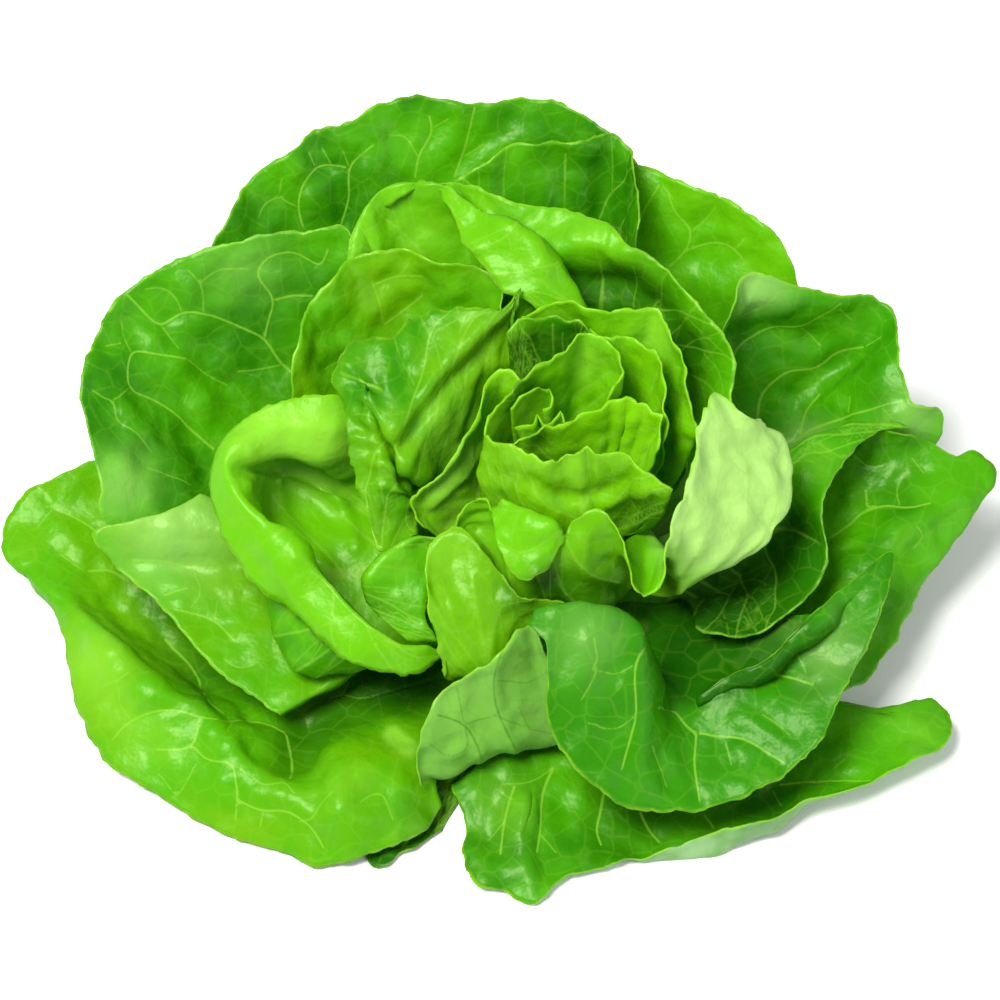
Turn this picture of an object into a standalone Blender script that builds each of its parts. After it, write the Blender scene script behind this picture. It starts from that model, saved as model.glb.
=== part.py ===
# Butterhead lettuce: a cut stem and 30 leaves, each leaf its own solid.
# World frame in metres: +Z up, the table is z = 0, the origin is the middle of the cut stem face,
# -Y is the side that is looked at. Lengths below are millimetres until a mesh is written.
import math

import bmesh
import bpy
import numpy as np
from mathutils import Vector
from mathutils.bvhtree import BVHTree

MM = 0.001
OBJECT_NAME = "butterhead_lettuce"

# Colours as linear red, green and blue; leaves are greener outside and yellower toward the heart.
STEM_COLOUR = (0.60, 0.66, 0.30)
OUTER_COLOUR = (0.05, 0.27, 0.01)
WRAPPER_COLOUR = (0.09, 0.36, 0.01)
INNER_COLOUR = (0.16, 0.48, 0.02)
HEART_COLOUR = (0.23, 0.55, 0.03)
LEAF_ROUGHNESS = 0.4
STEM_ROUGHNESS = 0.55

# A leaf is drawn as it is seen from this view: a place is (across, up, height), where across and up are
# millimetres in the plane of the drawing and height is millimetres over the table.
VIEW_ELEVATION = math.radians(50)
VIEW_DISTANCE = 1000.0
PLANE_HEIGHT = 40.0
STEM_ACROSS = 17.0
STEM_BACK = -9.0

STEM_TOP = 41.0
STEM_SIDES = 32
TABLE_GAP = 0.55

BLADE = 0.9
RIM_BLADE = 0.75
RIB_BASE = 1.8
ROOT_RADIUS = 13.6
ROOT_TAPER = 0.17
ROOT_CLEAR = 3.2
LAMP_HEIGHT = 150.0
LEAST_GAP = 1.5
RAYS_PER_CELL = 3
PUSH_ROUNDS = 8
MOST_PUSH = 12.0


def seen(across, up, height):
    """The point at this height that the view shows at this place of the drawing."""
    toward = np.array([0.0, -math.cos(VIEW_ELEVATION), math.sin(VIEW_ELEVATION)])
    upward = np.array([0.0, math.sin(VIEW_ELEVATION), math.cos(VIEW_ELEVATION)])
    middle = np.array([0.0, 0.0, PLANE_HEIGHT])
    eye = middle + VIEW_DISTANCE * toward
    target = middle + np.array([across, 0.0, 0.0]) + up * upward
    share = (height - eye[2]) / (target[2] - eye[2])
    point = eye + share * (target - eye)
    return point - np.array([STEM_ACROSS, STEM_BACK, 0.0])


class Leaf:
    """A leaf from an arc on the stem, by its belly and any drawn rings, to its drawn rim."""

    def __init__(self, name, root, foot, rim, rings=(), belly=(0.5, 0.0, 0.0), rows=(2, 3), steps=2):
        self.name = name
        self.root = root
        self.foot = foot
        self.rim = rim
        self.rings = rings
        self.belly = belly
        self.rows = rows
        self.steps = steps


LEAVES = [
    Leaf(
        "outer_leaf_under",
        root=(243, 259),
        foot=3,
        belly=(0.5, 0, 0),
        rim=[
            (-40, -94, 0.6), (-37.5, -99, 0.6), (-36.3, -102, 0.6), (-32, -102.8, 0.6), (-28.5, -99.8, 0.6),
            (-24, -98.2, 0.6), (-20.5, -95.5, 0.6), (-17, -93, 0.6), (-15.5, -88, 0.6),
        ],
        rows=(2, 3),
        steps=1,
    ),
    Leaf(
        "outer_leaf_front",
        root=(267, 307),
        foot=7,
        belly=(0.5, 3, 0),
        rings=[[
            (-10, -78, 7), (-5, -88, 5), (-4, -95, 4), (0, -102, 3), (5, -104, 2.5), (10, -106, 2),
            (16, -101, 3), (27, -100.5, 2), (40, -101, 1), (50, -101.2, 1), (59, -100, 1.2), (67, -97, 2),
            (76, -93.7, 3), (86, -87, 5), (98, -79, 6), (110, -72, 7), (118, -68, 7), (119, -63, 7),
            (114, -60, 7), (104, -62, 6.5), (90, -62, 6.5),
        ]],
        rim=[
            (-13, -80, 6), (-9.5, -93, 3), (-10, -99, 2), (-7, -107.5, 1.5), (2, -110.5, 0.6), (10, -113.5, 0.6),
            (17, -106.5, 2.5), (28, -103.7, 2), (40, -100.3, 3), (50, -97.3, 6), (60, -94, 8), (70, -91.8, 9),
            (80, -89, 9.5), (92, -83.5, 10), (104, -79, 9.5), (116, -74, 9), (124, -69, 8.5), (126.5, -62, 8),
            (122, -56, 8), (108, -58.5, 7), (92, -57, 7),
        ],
        rows=(2, 3, 2),
        steps=1,
    ),
    Leaf(
        "outer_leaf_front_left",
        root=(190, 230),
        foot=8,
        belly=(0.5, 0, 0),
        rings=[[
            (-95, 2, 20), (-98, -3, 18), (-101, -9, 16), (-104, -15, 14), (-107, -22, 12), (-109, -29, 9),
            (-106, -35, 7), (-100, -42, 6.5), (-93, -48, 6.5), (-86, -52, 6.5), (-79, -56, 6.5), (-73, -61, 6.5),
            (-64, -66, 6.5), (-55, -68, 6.5), (-46, -66, 7), (-36, -63, 7), (-25, -61, 7), (-12, -60, 7),
        ], [
            (-103, 5, 22), (-107, 2, 20), (-111, -3, 18.5), (-115, -10, 17), (-119, -18, 15), (-121, -25, 15),
            (-117, -32, 16), (-110, -39, 17), (-103, -46, 17.5), (-95, -53, 17.5), (-85, -58, 16.5), (-78, -66, 15),
            (-69, -75, 13), (-59, -81, 12), (-48, -81, 14), (-38, -77, 15), (-27, -75, 13), (-18, -74, 10),
        ]],
        rim=[
            (-107, 10, 27), (-115, 11, 27), (-123, 7, 25), (-131, 3, 22), (-138, -6, 18), (-139, -14, 15),
            (-130, -23.5, 13), (-122, -35, 12), (-120, -47, 10), (-117.5, -59, 7), (-110, -73, 4), (-98, -81, 2),
            (-82, -91, 0.7), (-65, -97, 0.6), (-49, -102.3, 0.8), (-34, -98, 3.5), (-22, -93, 4.5), (-17, -86, 5),
        ],
        rows=(2, 2, 2, 2),
        steps=1,
    ),
    Leaf(
        "outer_leaf_back_left",
        root=(131, 91),
        foot=7,
        belly=(0.55, -20, 8),
        rim=[
            (-84, 56, 50), (-82, 70, 61), (-76, 80, 66), (-70, 90, 70), (-59, 97.5, 75), (-52, 103.5, 78),
            (-42, 106, 82), (-33, 111, 84), (-24, 113.4, 85), (-14, 112, 84), (-4, 111, 82), (6, 112.8, 83),
            (15, 112, 82), (24, 108, 80), (32, 102, 78), (40, 92, 73),
        ],
        rows=(2, 4),
        steps=1,
    ),
    Leaf(
        "outer_leaf_back_right",
        root=(75, 35),
        foot=8,
        belly=(0.55, -18, 7),
        rim=[
            (33, 90, 70), (38, 94, 74), (46, 91.5, 74), (54, 88.7, 74), (62, 85.5, 73), (70, 80.3, 72),
            (77, 75.3, 69), (81, 68.5, 64), (83.5, 60, 56), (84, 50, 48),
        ],
        rows=(2, 3),
        steps=1,
    ),
    Leaf(
        "outer_leaf_right_back",
        root=(48, 8),
        foot=11,
        belly=(0.55, -16, 6),
        rim=[
            (61, 38, 62), (62.5, 50, 67), (65, 60, 70), (71, 64.5, 70), (80, 61.8, 67), (91, 59.3, 63),
            (103, 57.5, 60), (109, 54.5, 58), (112, 45, 56), (112.8, 36, 53), (116, 27, 49), (123, 26, 47),
            (124, 20, 41), (119, 12, 33), (111, 6, 27),
        ],
        rows=(2, 3),
        steps=1,
    ),
    Leaf(
        "outer_leaf_right",
        root=(6, -34),
        foot=14,
        belly=(0.55, -5, 0),
        rings=[[
            (98, 12, 33), (103, 10, 33), (109, 8, 33), (115, 5, 33), (119, 1, 33), (120, -4, 32),
            (116, -9, 30), (111, -15, 28), (107, -21, 26), (103, -28, 24.5), (99, -35, 23), (94, -42, 21.5),
            (86, -46, 20),
        ]],
        rim=[
            (104, 22, 45), (111, 20, 43.5), (119, 17, 39), (127, 12.5, 36), (131, 13.5, 35), (139, 7.5, 31),
            (134, -1, 28), (127, -11, 24), (120, -20, 21), (114.5, -31, 19), (109, -41, 18), (102, -51, 17),
            (93, -55, 17),
        ],
        rows=(2, 2, 2),
        steps=1,
    ),
    Leaf(
        "outer_leaf_left",
        root=(138, 178),
        foot=11,
        belly=(0.55, -16, 6),
        rim=[
            (-38, 68, 70), (-43, 77, 74), (-54, 75.7, 73), (-66, 74.6, 72), (-78, 71.4, 70), (-90, 67.5, 67),
            (-100, 62, 63), (-108, 55.5, 60), (-113.5, 46, 56), (-117.5, 34, 52), (-117.5, 25, 48), (-115, 15, 44),
            (-113, 4, 37), (-112, -6, 30), (-105, -11, 25),
        ],
        rows=(2, 4),
        steps=1,
    ),
    Leaf(
        "outer_leaf_lower_left",
        root=(176, 216),
        foot=15.5,
        belly=(0.45, 2, 0),
        rim=[
            (-84, 1, 37), (-93, -3.3, 37), (-104, -6, 37), (-114, -9, 35), (-108.5, -17.5, 28), (-99, -26, 25),
            (-92, -34, 22), (-85, -42, 20), (-77, -50, 18), (-69, -55.5, 16), (-62, -60, 14.5), (-64, -54, 14),
            (-67.5, -46, 14), (-69.5, -39, 15), (-70, -32, 16), (-71.5, -25, 18),
        ],
        rows=(2, 3),
        steps=1,
    ),
    Leaf(
        "back_leaf",
        root=(107, 67),
        foot=13,
        belly=(0.55, -20, 8),
        rim=[
            (-20, 78, 72), (-12, 90, 79), (-4, 95, 83), (4, 99.8, 86), (13, 100.3, 86), (22, 101, 86),
            (31, 102.7, 86), (35.5, 99, 85), (37.8, 89, 82), (39, 76, 77),
        ],
        rows=(2, 3),
        steps=1,
    ),
    Leaf(
        "front_left_leaf",
        root=(238, 272),
        foot=13,
        belly=(0.4, -2, 0),
        rings=[[
            (-20, -79, 9), (-18, -79.5, 9), (-14, -79, 10), (-9, -77.5, 11), (-4, -75, 12), (2, -72.5, 13),
            (8, -71, 14), (14, -70, 15), (18, -68, 16),
        ]],
        rim=[
            (-20.5, -80.5, 13), (-22.3, -74, 20), (-21, -65, 28), (-18, -57, 34), (-11, -50, 39), (-3, -44.5, 43),
            (3, -38.7, 46), (8, -35.3, 46.5), (11.5, -41, 43),
        ],
        rows=(2, 2, 3),
    ),
    Leaf(
        "front_leaf",
        root=(283, 321),
        foot=16,
        belly=(0.5, 0, 0),
        rings=[[
            (6, -46, 26), (10, -46, 26), (15, -46, 26), (20, -46, 26), (26, -46, 25), (32, -47, 24),
            (37, -49, 22), (38, -46, 19), (42, -46, 18), (46, -44, 18), (50, -41, 19), (53, -38, 20),
            (56, -35, 21), (58, -32, 22), (60, -30, 22), (60, -32, 21), (58, -36, 20), (55, -40, 18.5),
            (51, -44, 17.5), (48, -47, 17),
        ], [
            (10, -31.5, 51), (14, -30.5, 53), (19, -30, 53), (25, -30.5, 52), (31, -32, 51), (36.5, -35.5, 48),
            (41, -43, 43), (46, -58, 24), (53, -62, 20), (62, -62, 21), (70, -58, 23), (77, -51, 25),
            (84, -44, 28), (90, -37, 31), (94, -31, 34), (90, -33, 34), (80, -41, 31), (69, -49, 27),
            (60, -53, 24), (54, -57, 21),
        ]],
        rim=[
            (8, -35.2, 50), (12.5, -39, 49), (13, -48, 44), (12.5, -58, 36), (16, -68, 29), (24, -78, 22),
            (36, -86, 17), (50, -87.5, 15), (64, -85, 15), (78, -78.5, 18), (90, -67.5, 23), (97, -52.5, 29),
            (104.5, -38, 34), (109, -25, 38), (110, -14.5, 42), (98, -23, 39), (84, -34, 35.5), (72, -44.5, 31.5),
            (62, -50, 27), (56, -55, 23),
        ],
        rows=(1, 2, 3, 4),
        steps=1,
    ),
    Leaf(
        "back_wrapper",
        root=(90, 50),
        foot=20,
        belly=(0.55, -10, 12),
        rings=[[
            (-29, 73, 69), (-19, 78, 74), (-10, 77, 77), (-2, 73, 78), (5, 70, 78), (14, 68.5, 79.5),
            (24, 66, 79.5), (31, 64, 79), (36, 60, 77.5), (42, 55, 76), (48, 48, 73), (52, 42, 70),
            (55, 36, 66), (56, 29, 62), (55, 20, 57),
        ]],
        rim=[
            (-30, 78, 73), (-19, 88.3, 82), (-10, 88.8, 87), (-2, 86, 89), (5, 83.3, 89), (14, 82.6, 90),
            (24, 79.8, 90), (32, 77.3, 90), (38, 71.5, 89), (46, 66, 88), (54, 57.5, 85), (60, 50, 82),
            (65, 43, 78), (65.5, 34, 73), (63, 24, 67),
        ],
        rows=(2, 3, 2),
    ),
    Leaf(
        "back_left_wrapper",
        root=(142, 107),
        foot=19,
        belly=(0.5, -12, 6),
        rings=[[
            (-41, 66, 75), (-40, 75, 80.5), (-38, 81, 85), (-34, 86, 87.5), (-28, 88.6, 88.5), (-22, 89.2, 88.5),
            (-17, 88.9, 88), (-12, 85.5, 88), (-6, 81.5, 88), (0, 76, 88), (5, 69.5, 86.5), (8, 63, 84),
            (7, 56, 80),
        ]],
        rim=[
            (-43, 65, 74), (-41, 73, 79), (-37.5, 79.3, 82.5), (-32, 82, 84), (-27, 85, 86), (-23, 87.4, 87.8),
            (-19, 87.6, 88.8), (-15.5, 83, 88.5), (-13, 78, 87.5), (-11, 72, 86), (-8, 69, 85), (-4, 65, 83.5),
            (1, 58, 80),
        ],
        rows=(2, 3, 2),
        steps=1,
    ),
    Leaf(
        "left_wrapper",
        root=(166, 126),
        foot=24,
        belly=(0.5, -12, 6),
        rim=[
            (-58, 24, 56), (-59.8, 34, 64), (-58, 44, 70), (-54, 55, 74), (-48, 62, 77), (-42, 67.5, 79),
            (-34, 70.2, 80), (-24, 70, 81), (-15, 67.3, 81), (-6, 65.3, 80), (0, 60, 78), (3, 51, 73),
        ],
        rows=(2, 3),
    ),
    Leaf(
        "right_leaf",
        root=(0, -40),
        foot=19,
        belly=(0.55, -6, 3),
        rings=[[
            (108, 21.2, 45), (98, 21, 47), (90, 19, 48), (84, 14, 46), (82, 5, 42), (82, -4, 36),
            (80, -12, 31), (76, -20, 25), (71, -26, 22), (66, -29, 21), (60, -30, 21), (52, -29, 22),
        ]],
        rim=[
            (115, 19.8, 44), (106, 19.3, 46), (100, 15, 47), (95, 8.5, 46), (91.3, 0, 44), (91.5, -9, 41),
            (92, -17, 38), (88.5, -26, 34), (82, -33.5, 31), (74, -38, 29), (65, -40.3, 28), (55, -37, 28),
        ],
        rows=(2, 3, 2),
    ),
    Leaf(
        "left_cup_leaf",
        root=(177, 217),
        foot=23,
        belly=(0.5, -2, 0),
        rings=[
            [
                (-34, 6, 40), (-40, 8, 42), (-48, 10, 43), (-56, 11, 43), (-62, 9, 40), (-67, 4, 35),
                (-71, -7, 27), (-71, -16, 26), (-70, -25, 25), (-67, -34, 24), (-63, -42, 23), (-56, -49, 22),
                (-47, -48.5, 22), (-37, -47, 22), (-22, -43, 26),
            ],
            [
                (-41, 20, 60), (-46, 20, 62), (-53, 20, 63), (-61, 20, 63), (-69, 17, 62), (-76.5, 10.5, 61),
                (-75.5, 3, 59), (-71, -3.5, 56), (-64, -8.5, 54), (-57, -14.5, 51), (-50, -21, 49), (-42, -29.5, 46),
                (-34, -37, 43), (-27, -41, 40), (-20, -41, 38),
            ],
        ],
        rim=[
            (-42, 28, 66), (-47, 29.5, 68), (-55, 29.3, 68), (-63, 27, 67), (-71, 22.5, 64), (-78.5, 15, 60),
            (-81.3, 5, 55), (-79, -5, 50), (-75, -15, 45), (-68, -24, 41), (-58, -30, 38), (-46, -40.5, 35),
            (-33, -47.5, 33), (-22, -48, 33), (-15.5, -42.5, 35),
        ],
        rows=(1, 2, 3, 2),
        steps=1,
    ),
    Leaf(
        "front_left_curl_leaf",
        root=(222, 262),
        foot=24,
        belly=(0.5, -2, 0),
        rings=[[
            (-27, -40, 36), (-33, -34.5, 40), (-37.5, -28, 44), (-37, -21, 49), (-30.5, -14, 53), (-22.5, -10.3, 55),
            (-15, -12, 53), (-8, -18, 49),
        ]],
        rim=[
            (-17.5, -41, 36), (-20, -36, 40), (-20.5, -30, 43), (-19, -23, 46), (-16, -17, 48.5),
            (-12, -14, 50), (-8, -16, 49), (-5, -21, 46),
        ],
        rows=(2, 3, 2),
    ),
    Leaf(
        "front_curled_leaf",
        root=(240, 273),
        foot=27.5,
        belly=(0.5, -3, 0),
        rings=[[
            (-13, -51, 31), (-13, -50, 32), (-12, -49.5, 33), (-10.5, -49, 34), (-8.5, -48.5, 35), (-6.5, -47.5, 36),
            (-4, -46.5, 36.5), (-1.5, -45, 37), (1.5, -42.5, 37.5), (4.5, -39.5, 38), (8, -37, 38.5), (13, -35, 39),
            (21, -33.5, 39),
        ]],
        rim=[
            (-15.5, -41.5, 41), (-18.3, -37, 45), (-20, -31, 49.5), (-20.3, -23, 54), (-19.5, -14, 58.5),
            (-16, -8.3, 61), (-11, -7.5, 61), (-6, -12.3, 59), (-1.2, -19.3, 55), (3, -24.3, 52),
            (9, -27.3, 49), (17, -28.7, 47), (25, -30.3, 45.5),
        ],
        rows=(2, 2, 3),
    ),
    Leaf(
        "front_right_wavy_leaf",
        root=(278, 315),
        foot=28.5,
        belly=(0.5, -2, 0),
        rings=[[
            (-11, -17, 44), (-9, -18, 44), (-6, -20, 43), (-3, -23, 42), (0, -26, 42), (3, -28, 42),
            (7, -29, 42), (11, -30, 42), (16, -31, 42), (20, -31, 42), (25, -31, 42), (30, -30, 42),
            (34, -27, 42), (37, -19, 41), (40, -16, 40), (44, -19, 41), (48, -26, 43), (52, -25, 44),
            (58, -21, 44), (65, -17, 46), (71, -11, 48), (75, -3, 50), (75, 4, 53),
        ], [
            (-11.5, -12, 50), (-9.5, -10, 52), (-7, -9, 53), (-3, -7, 57), (0, -1, 67), (3, -1.3, 69),
            (8, -3.3, 70), (13, -5.7, 69.5), (18, -12, 64), (21.5, -16.5, 60), (25.5, -18, 58), (30, -17.5, 57.5),
            (34, -16.5, 57), (37, -12, 53), (40.5, -8, 50), (44.5, -12, 53), (48, -18, 55), (54, -18.5, 54),
            (63, -15, 53), (72, -8, 54), (79, 0, 57), (81.3, 9, 60), (80, 17, 63),
        ]],
        rim=[
            (-12, -9, 56), (-11, -4, 60), (-8, 0.3, 63), (-3.5, 1, 66), (-2, -6, 66), (1, -17, 61),
            (7, -22.5, 58), (12.5, -20, 60), (18, -9.5, 66), (22, -5, 70), (26.5, -2.8, 72), (31, -7, 70),
            (35.5, -15, 66), (35.5, -23, 61), (40, -28, 57), (45.5, -23, 60), (46.5, -13, 66), (51, -1, 72),
            (54.5, 10, 78), (56, 20, 82), (60.5, 29.8, 84), (66, 25.5, 80), (72, 22.5, 75),
        ],
        rows=(1, 2, 2, 3),
        steps=1,
    ),
    Leaf(
        "left_inner_leaf",
        root=(184, 144),
        foot=29,
        belly=(0.5, -6, 2),
        rings=[[
            (-22, -5, 46), (-27, -2, 50), (-31, 1, 53), (-33, 6, 57), (-34.5, 15, 62), (-36, 25, 69),
            (-38, 33, 74), (-36, 28, 72), (-31, 21, 69), (-25, 27, 71), (-18, 35, 74), (-10, 43, 77),
            (-4, 47.5, 79), (0, 51, 80), (3, 54, 81), (4, 50, 79),
        ]],
        rim=[
            (-23, -9, 46), (-34, -14, 46), (-37, -6, 50), (-39.5, 2, 54), (-41.5, 12, 59), (-43, 24, 66),
            (-46.5, 36, 73), (-41, 43.5, 77), (-33, 45.5, 79), (-27, 49, 80), (-21, 53, 81), (-11, 53.5, 82),
            (-3, 53.3, 83), (2, 56, 83), (5, 58.5, 83), (4.5, 54, 81),
        ],
        rows=(2, 3, 2),
        steps=1,
    ),
    Leaf(
        "pale_rib_leaf",
        root=(195, 155),
        foot=34,
        belly=(0.55, -4, 5),
        rim=[
            (-22, -8, 47), (-26, -1, 52), (-21, 5, 57), (-16, 10, 62), (-12, 16, 67), (-8, 24, 72),
            (-4, 32, 76), (0, 36.5, 78), (5, 33.5, 78), (3, 29, 75),
        ],
        rows=(2, 3),
    ),
    Leaf(
        "right_inner_leaf",
        root=(78, 38),
        foot=32,
        belly=(0.5, -8, 6),
        rim=[
            (3, 48, 79), (6, 51.5, 82), (11, 53.5, 84), (16, 56, 85), (21, 56.7, 86), (28, 54, 86),
            (36, 53.2, 86), (43, 53.4, 86), (48, 47.5, 85), (51.5, 42, 84), (51.8, 32, 81), (53, 25, 78),
            (56, 19, 73),
        ],
        rows=(2, 3),
    ),
    Leaf(
        "heart_leaf_far",
        root=(112, 76),
        foot=36,
        belly=(0.5, -6, 5),
        rim=[
            (1, 46, 78), (4.5, 50, 81), (9, 50.5, 82.5), (14, 51.5, 83.5), (18, 51, 83.5), (22, 50.3, 83.5),
            (25, 48.5, 83), (28, 45, 81),
        ],
        rows=(2, 2),
    ),
    Leaf(
        "heart_leaf_right",
        root=(50, 10),
        foot=36,
        belly=(0.5, -6, 4),
        rim=[
            (26, 47, 82), (28.5, 46, 83.5), (31.5, 45.3, 84), (35, 46.4, 84.5), (39, 45, 84.3), (42, 42.5, 84),
            (44, 39.7, 83.5), (45, 35.5, 82.5), (46.2, 30.5, 81), (46.2, 26, 79.5), (47, 22, 77.5), (47, 17, 74),
        ],
        rows=(2, 2),
    ),
    Leaf(
        "heart_leaf_front",
        root=(244, 290),
        foot=36,
        belly=(0.55, -4, 8),
        rim=[
            (-5, 17, 76), (-3, 16.3, 77), (0, 15.5, 78), (2.5, 14.5, 79), (5, 13.8, 79), (8, 12.7, 80),
            (9.5, 12.5, 80), (11, 11.2, 80), (13, 10.8, 80), (16, 10.9, 80), (17.5, 12, 80.5), (19, 13.2, 80.5),
            (21.5, 13.3, 81), (23, 14, 81.5), (24, 15.6, 82), (25.5, 14.1, 81.5), (29, 14, 81), (31.5, 13.7, 81),
            (34, 13.6, 81), (37, 12, 80), (38.5, 9.8, 79), (40.5, 8.2, 78.5), (43, 7, 77.5), (46, 4.8, 76.5),
            (48.5, 3, 75),
        ],
        rows=(2, 3),
        steps=1,
    ),
    Leaf(
        "heart_leaf_back",
        root=(132, 88),
        foot=40,
        belly=(0.5, -6, 3),
        rim=[
            (-4.5, 18, 76), (-3, 22, 78), (0, 27, 79.5), (3, 30.5, 81), (6, 33.5, 82), (9, 36, 83),
            (12, 38, 83.5), (15, 40.3, 84.5), (18.3, 42, 85), (19.5, 44, 85.5), (22, 46.6, 86), (25, 47.2, 86.3),
            (27, 46.1, 86), (30.5, 45, 85.5), (33.2, 42, 85), (34.5, 38, 84), (34.8, 35.5, 83.5),
            (33.2, 33, 83), (31.2, 30, 82), (30.3, 28, 80.5),
        ],
        rows=(2, 2),
        steps=1,
    ),
    Leaf(
        "heart_leaf_small",
        root=(160, 100),
        foot=44,
        belly=(0.5, -3, 2),
        rim=[
            (2, 24, 73.5), (4.5, 28, 75.5), (7, 30, 76.5), (10, 31.5, 77), (12.5, 31.4, 77), (14.3, 31.7, 77),
            (14.8, 29, 76), (14, 26, 74.5), (12, 25.3, 73),
        ],
        rows=(2, 2),
    ),
    Leaf(
        "heart_leaf_tip",
        root=(92, 48),
        foot=47,
        belly=(0.5, 0, 1),
        rim=[
            (4, 20, 70.5), (7, 20.6, 71.5), (9.3, 20.6, 72), (10.2, 24.6, 74), (12, 20.8, 72.5), (14.5, 21.8, 73),
            (17, 25, 75), (18, 21.5, 73),
        ],
        rows=(2, 2),
    ),
    Leaf(
        "heart_leaf_middle",
        root=(250, 300),
        foot=42,
        belly=(0.5, -3, 4),
        rim=[
            (1, 15, 76.5), (3, 16, 77.5), (5, 18, 79), (8.5, 18.3, 79.3), (11, 20.2, 80), (13, 21.2, 80.5),
            (16, 20.8, 80.5), (19, 21.4, 81), (22, 23.6, 82), (26, 26, 83), (29, 27, 83), (31, 28.2, 83.3),
            (35, 27.9, 83), (36.5, 28.6, 83), (38, 27.5, 83), (41, 27.5, 82.5), (43.5, 25.5, 81.5),
            (46, 24.3, 81), (45.3, 20, 78.5), (44.5, 14, 75),
        ],
        rows=(2, 2),
        steps=1,
    ),
]


def spline(knots, points, where):
    """Smooth curve through points (knot axis first), read at the places in where."""
    knots = np.asarray(knots, float)
    points = np.asarray(points, float)
    slope = np.gradient(points, knots, axis=0)
    cell = np.clip(np.searchsorted(knots, where, side="right") - 1, 0, len(knots) - 2)
    width = knots[cell + 1] - knots[cell]
    t = (where - knots[cell]) / width
    shape = (-1,) + (1,) * (points.ndim - 1)
    t = t.reshape(shape)
    width = width.reshape(shape)
    a = points[cell] * (2 * t**3 - 3 * t**2 + 1) + points[cell + 1] * (3 * t**2 - 2 * t**3)
    b = slope[cell] * (t**3 - 2 * t**2 + t) + slope[cell + 1] * (t**3 - t**2)
    return a + width * b


def chord_knots(points):
    """Knots from the distance between neighbouring points."""
    steps = np.linalg.norm(np.diff(points, axis=0), axis=1)
    return np.concatenate([[0.0], np.cumsum(steps)]) / steps.sum()


def root_radius(height):
    """Distance of the leaf roots from the stem's axis at this height."""
    return ROOT_RADIUS - ROOT_TAPER * height


def control_rings(leaf):
    """Root arc, belly, drawn rings and rim as rows of points in millimetres."""
    rim = np.array([seen(*place) for place in leaf.rim])
    drawn = [np.array([seen(*place) for place in ring]) for ring in leaf.rings]
    share = chord_knots(rim)
    angle = np.radians(leaf.root[0] + (leaf.root[1] - leaf.root[0]) * share)
    radius = root_radius(leaf.foot)
    root = np.stack([
        radius * np.cos(angle),
        radius * np.sin(angle),
        np.full(len(angle), float(leaf.foot)),
    ], axis=1)
    outer = drawn[0] if drawn else rim
    part, lift, bulge = leaf.belly
    belly = root + part * (outer - root)
    outward = outer * [1, 1, 0]
    outward /= np.linalg.norm(outward, axis=1, keepdims=True)
    belly += outward * bulge
    belly[:, 2] += lift
    return [root, belly] + drawn + [rim]


def leaf_grid(leaf):
    """Rows of points from root to rim that follow the leaf's middle surface."""
    rings = control_rings(leaf)
    knots = chord_knots(rings[-1])
    where = np.concatenate([
        np.linspace(knots[i], knots[i + 1], leaf.steps, endpoint=False) for i in range(len(knots) - 1)
    ] + [[1.0]])
    rings = np.array([spline(knots, ring, where) for ring in rings])
    spans = np.linalg.norm(np.diff(rings, axis=0), axis=2).mean(axis=1)
    levels = np.concatenate([[0.0], np.cumsum(spans)]) / spans.sum()
    rows = np.concatenate([
        np.linspace(levels[i], levels[i + 1], count, endpoint=False) for i, count in enumerate(leaf.rows)
    ] + [[1.0]])
    grid = spline(levels, rings, rows)
    grid[..., 2] = np.maximum(grid[..., 2], TABLE_GAP)
    return grid


def cell_samples(grid):
    """Points over the grid's cells, and the cell corner each belongs to."""
    steps = np.linspace(0, 1, RAYS_PER_CELL, endpoint=False)
    rows = np.arange(grid.shape[0] - 1)
    columns = np.arange(grid.shape[1] - 1)
    points = []
    owners = []
    for down in steps:
        for along in steps:
            low = grid[:-1] * (1 - down) + grid[1:] * down
            points.append((low[:, :-1] * (1 - along) + low[:, 1:] * along).reshape(-1, 3))
            owners.append(np.stack(np.meshgrid(rows, columns, indexing="ij"), axis=-1).reshape(-1, 2))
    return np.concatenate(points), np.concatenate(owners)


def spread_out(need):
    """The need of each point, shared smoothly with the points around it."""
    field = need.copy()
    for _ in range(6):
        padded = np.pad(field, 1, mode="edge")
        soft = (
            padded[:-2, 1:-1] + padded[2:, 1:-1] + padded[1:-1, :-2] + padded[1:-1, 2:] + 2 * field
        ) / 6
        field = np.maximum(need, soft)
    return field


def push_clear(grid, tree):
    """Moves a leaf toward a point over the head until it is clear of the leaves outside it."""
    lamp = np.array([0.0, 0.0, LAMP_HEIGHT])
    for _ in range(PUSH_ROUNDS):
        need = np.zeros(grid.shape[:2])
        points, owners = cell_samples(grid)
        for point, (row, column) in zip(points, owners):
            ray = point - lamp
            reach = np.linalg.norm(ray)
            ray /= reach
            place, normal, _, far = tree.ray_cast(Vector(lamp), Vector(ray))
            if place is None:
                continue
            facing = max(abs(normal.dot(Vector(ray))), 0.4)
            lack = min(reach - (far - LEAST_GAP / facing), MOST_PUSH)
            if lack > 0:
                for r in (row, row + 1):
                    for c in (column, column + 1):
                        need[r, c] = max(need[r, c], lack)
        need[0] = 0
        if need.max() <= 0:
            break
        push = spread_out(need)
        push[0] = 0
        way = lamp - grid
        way /= np.linalg.norm(way, axis=2, keepdims=True)
        grid = grid + way * push[..., None]
    return grid


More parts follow.
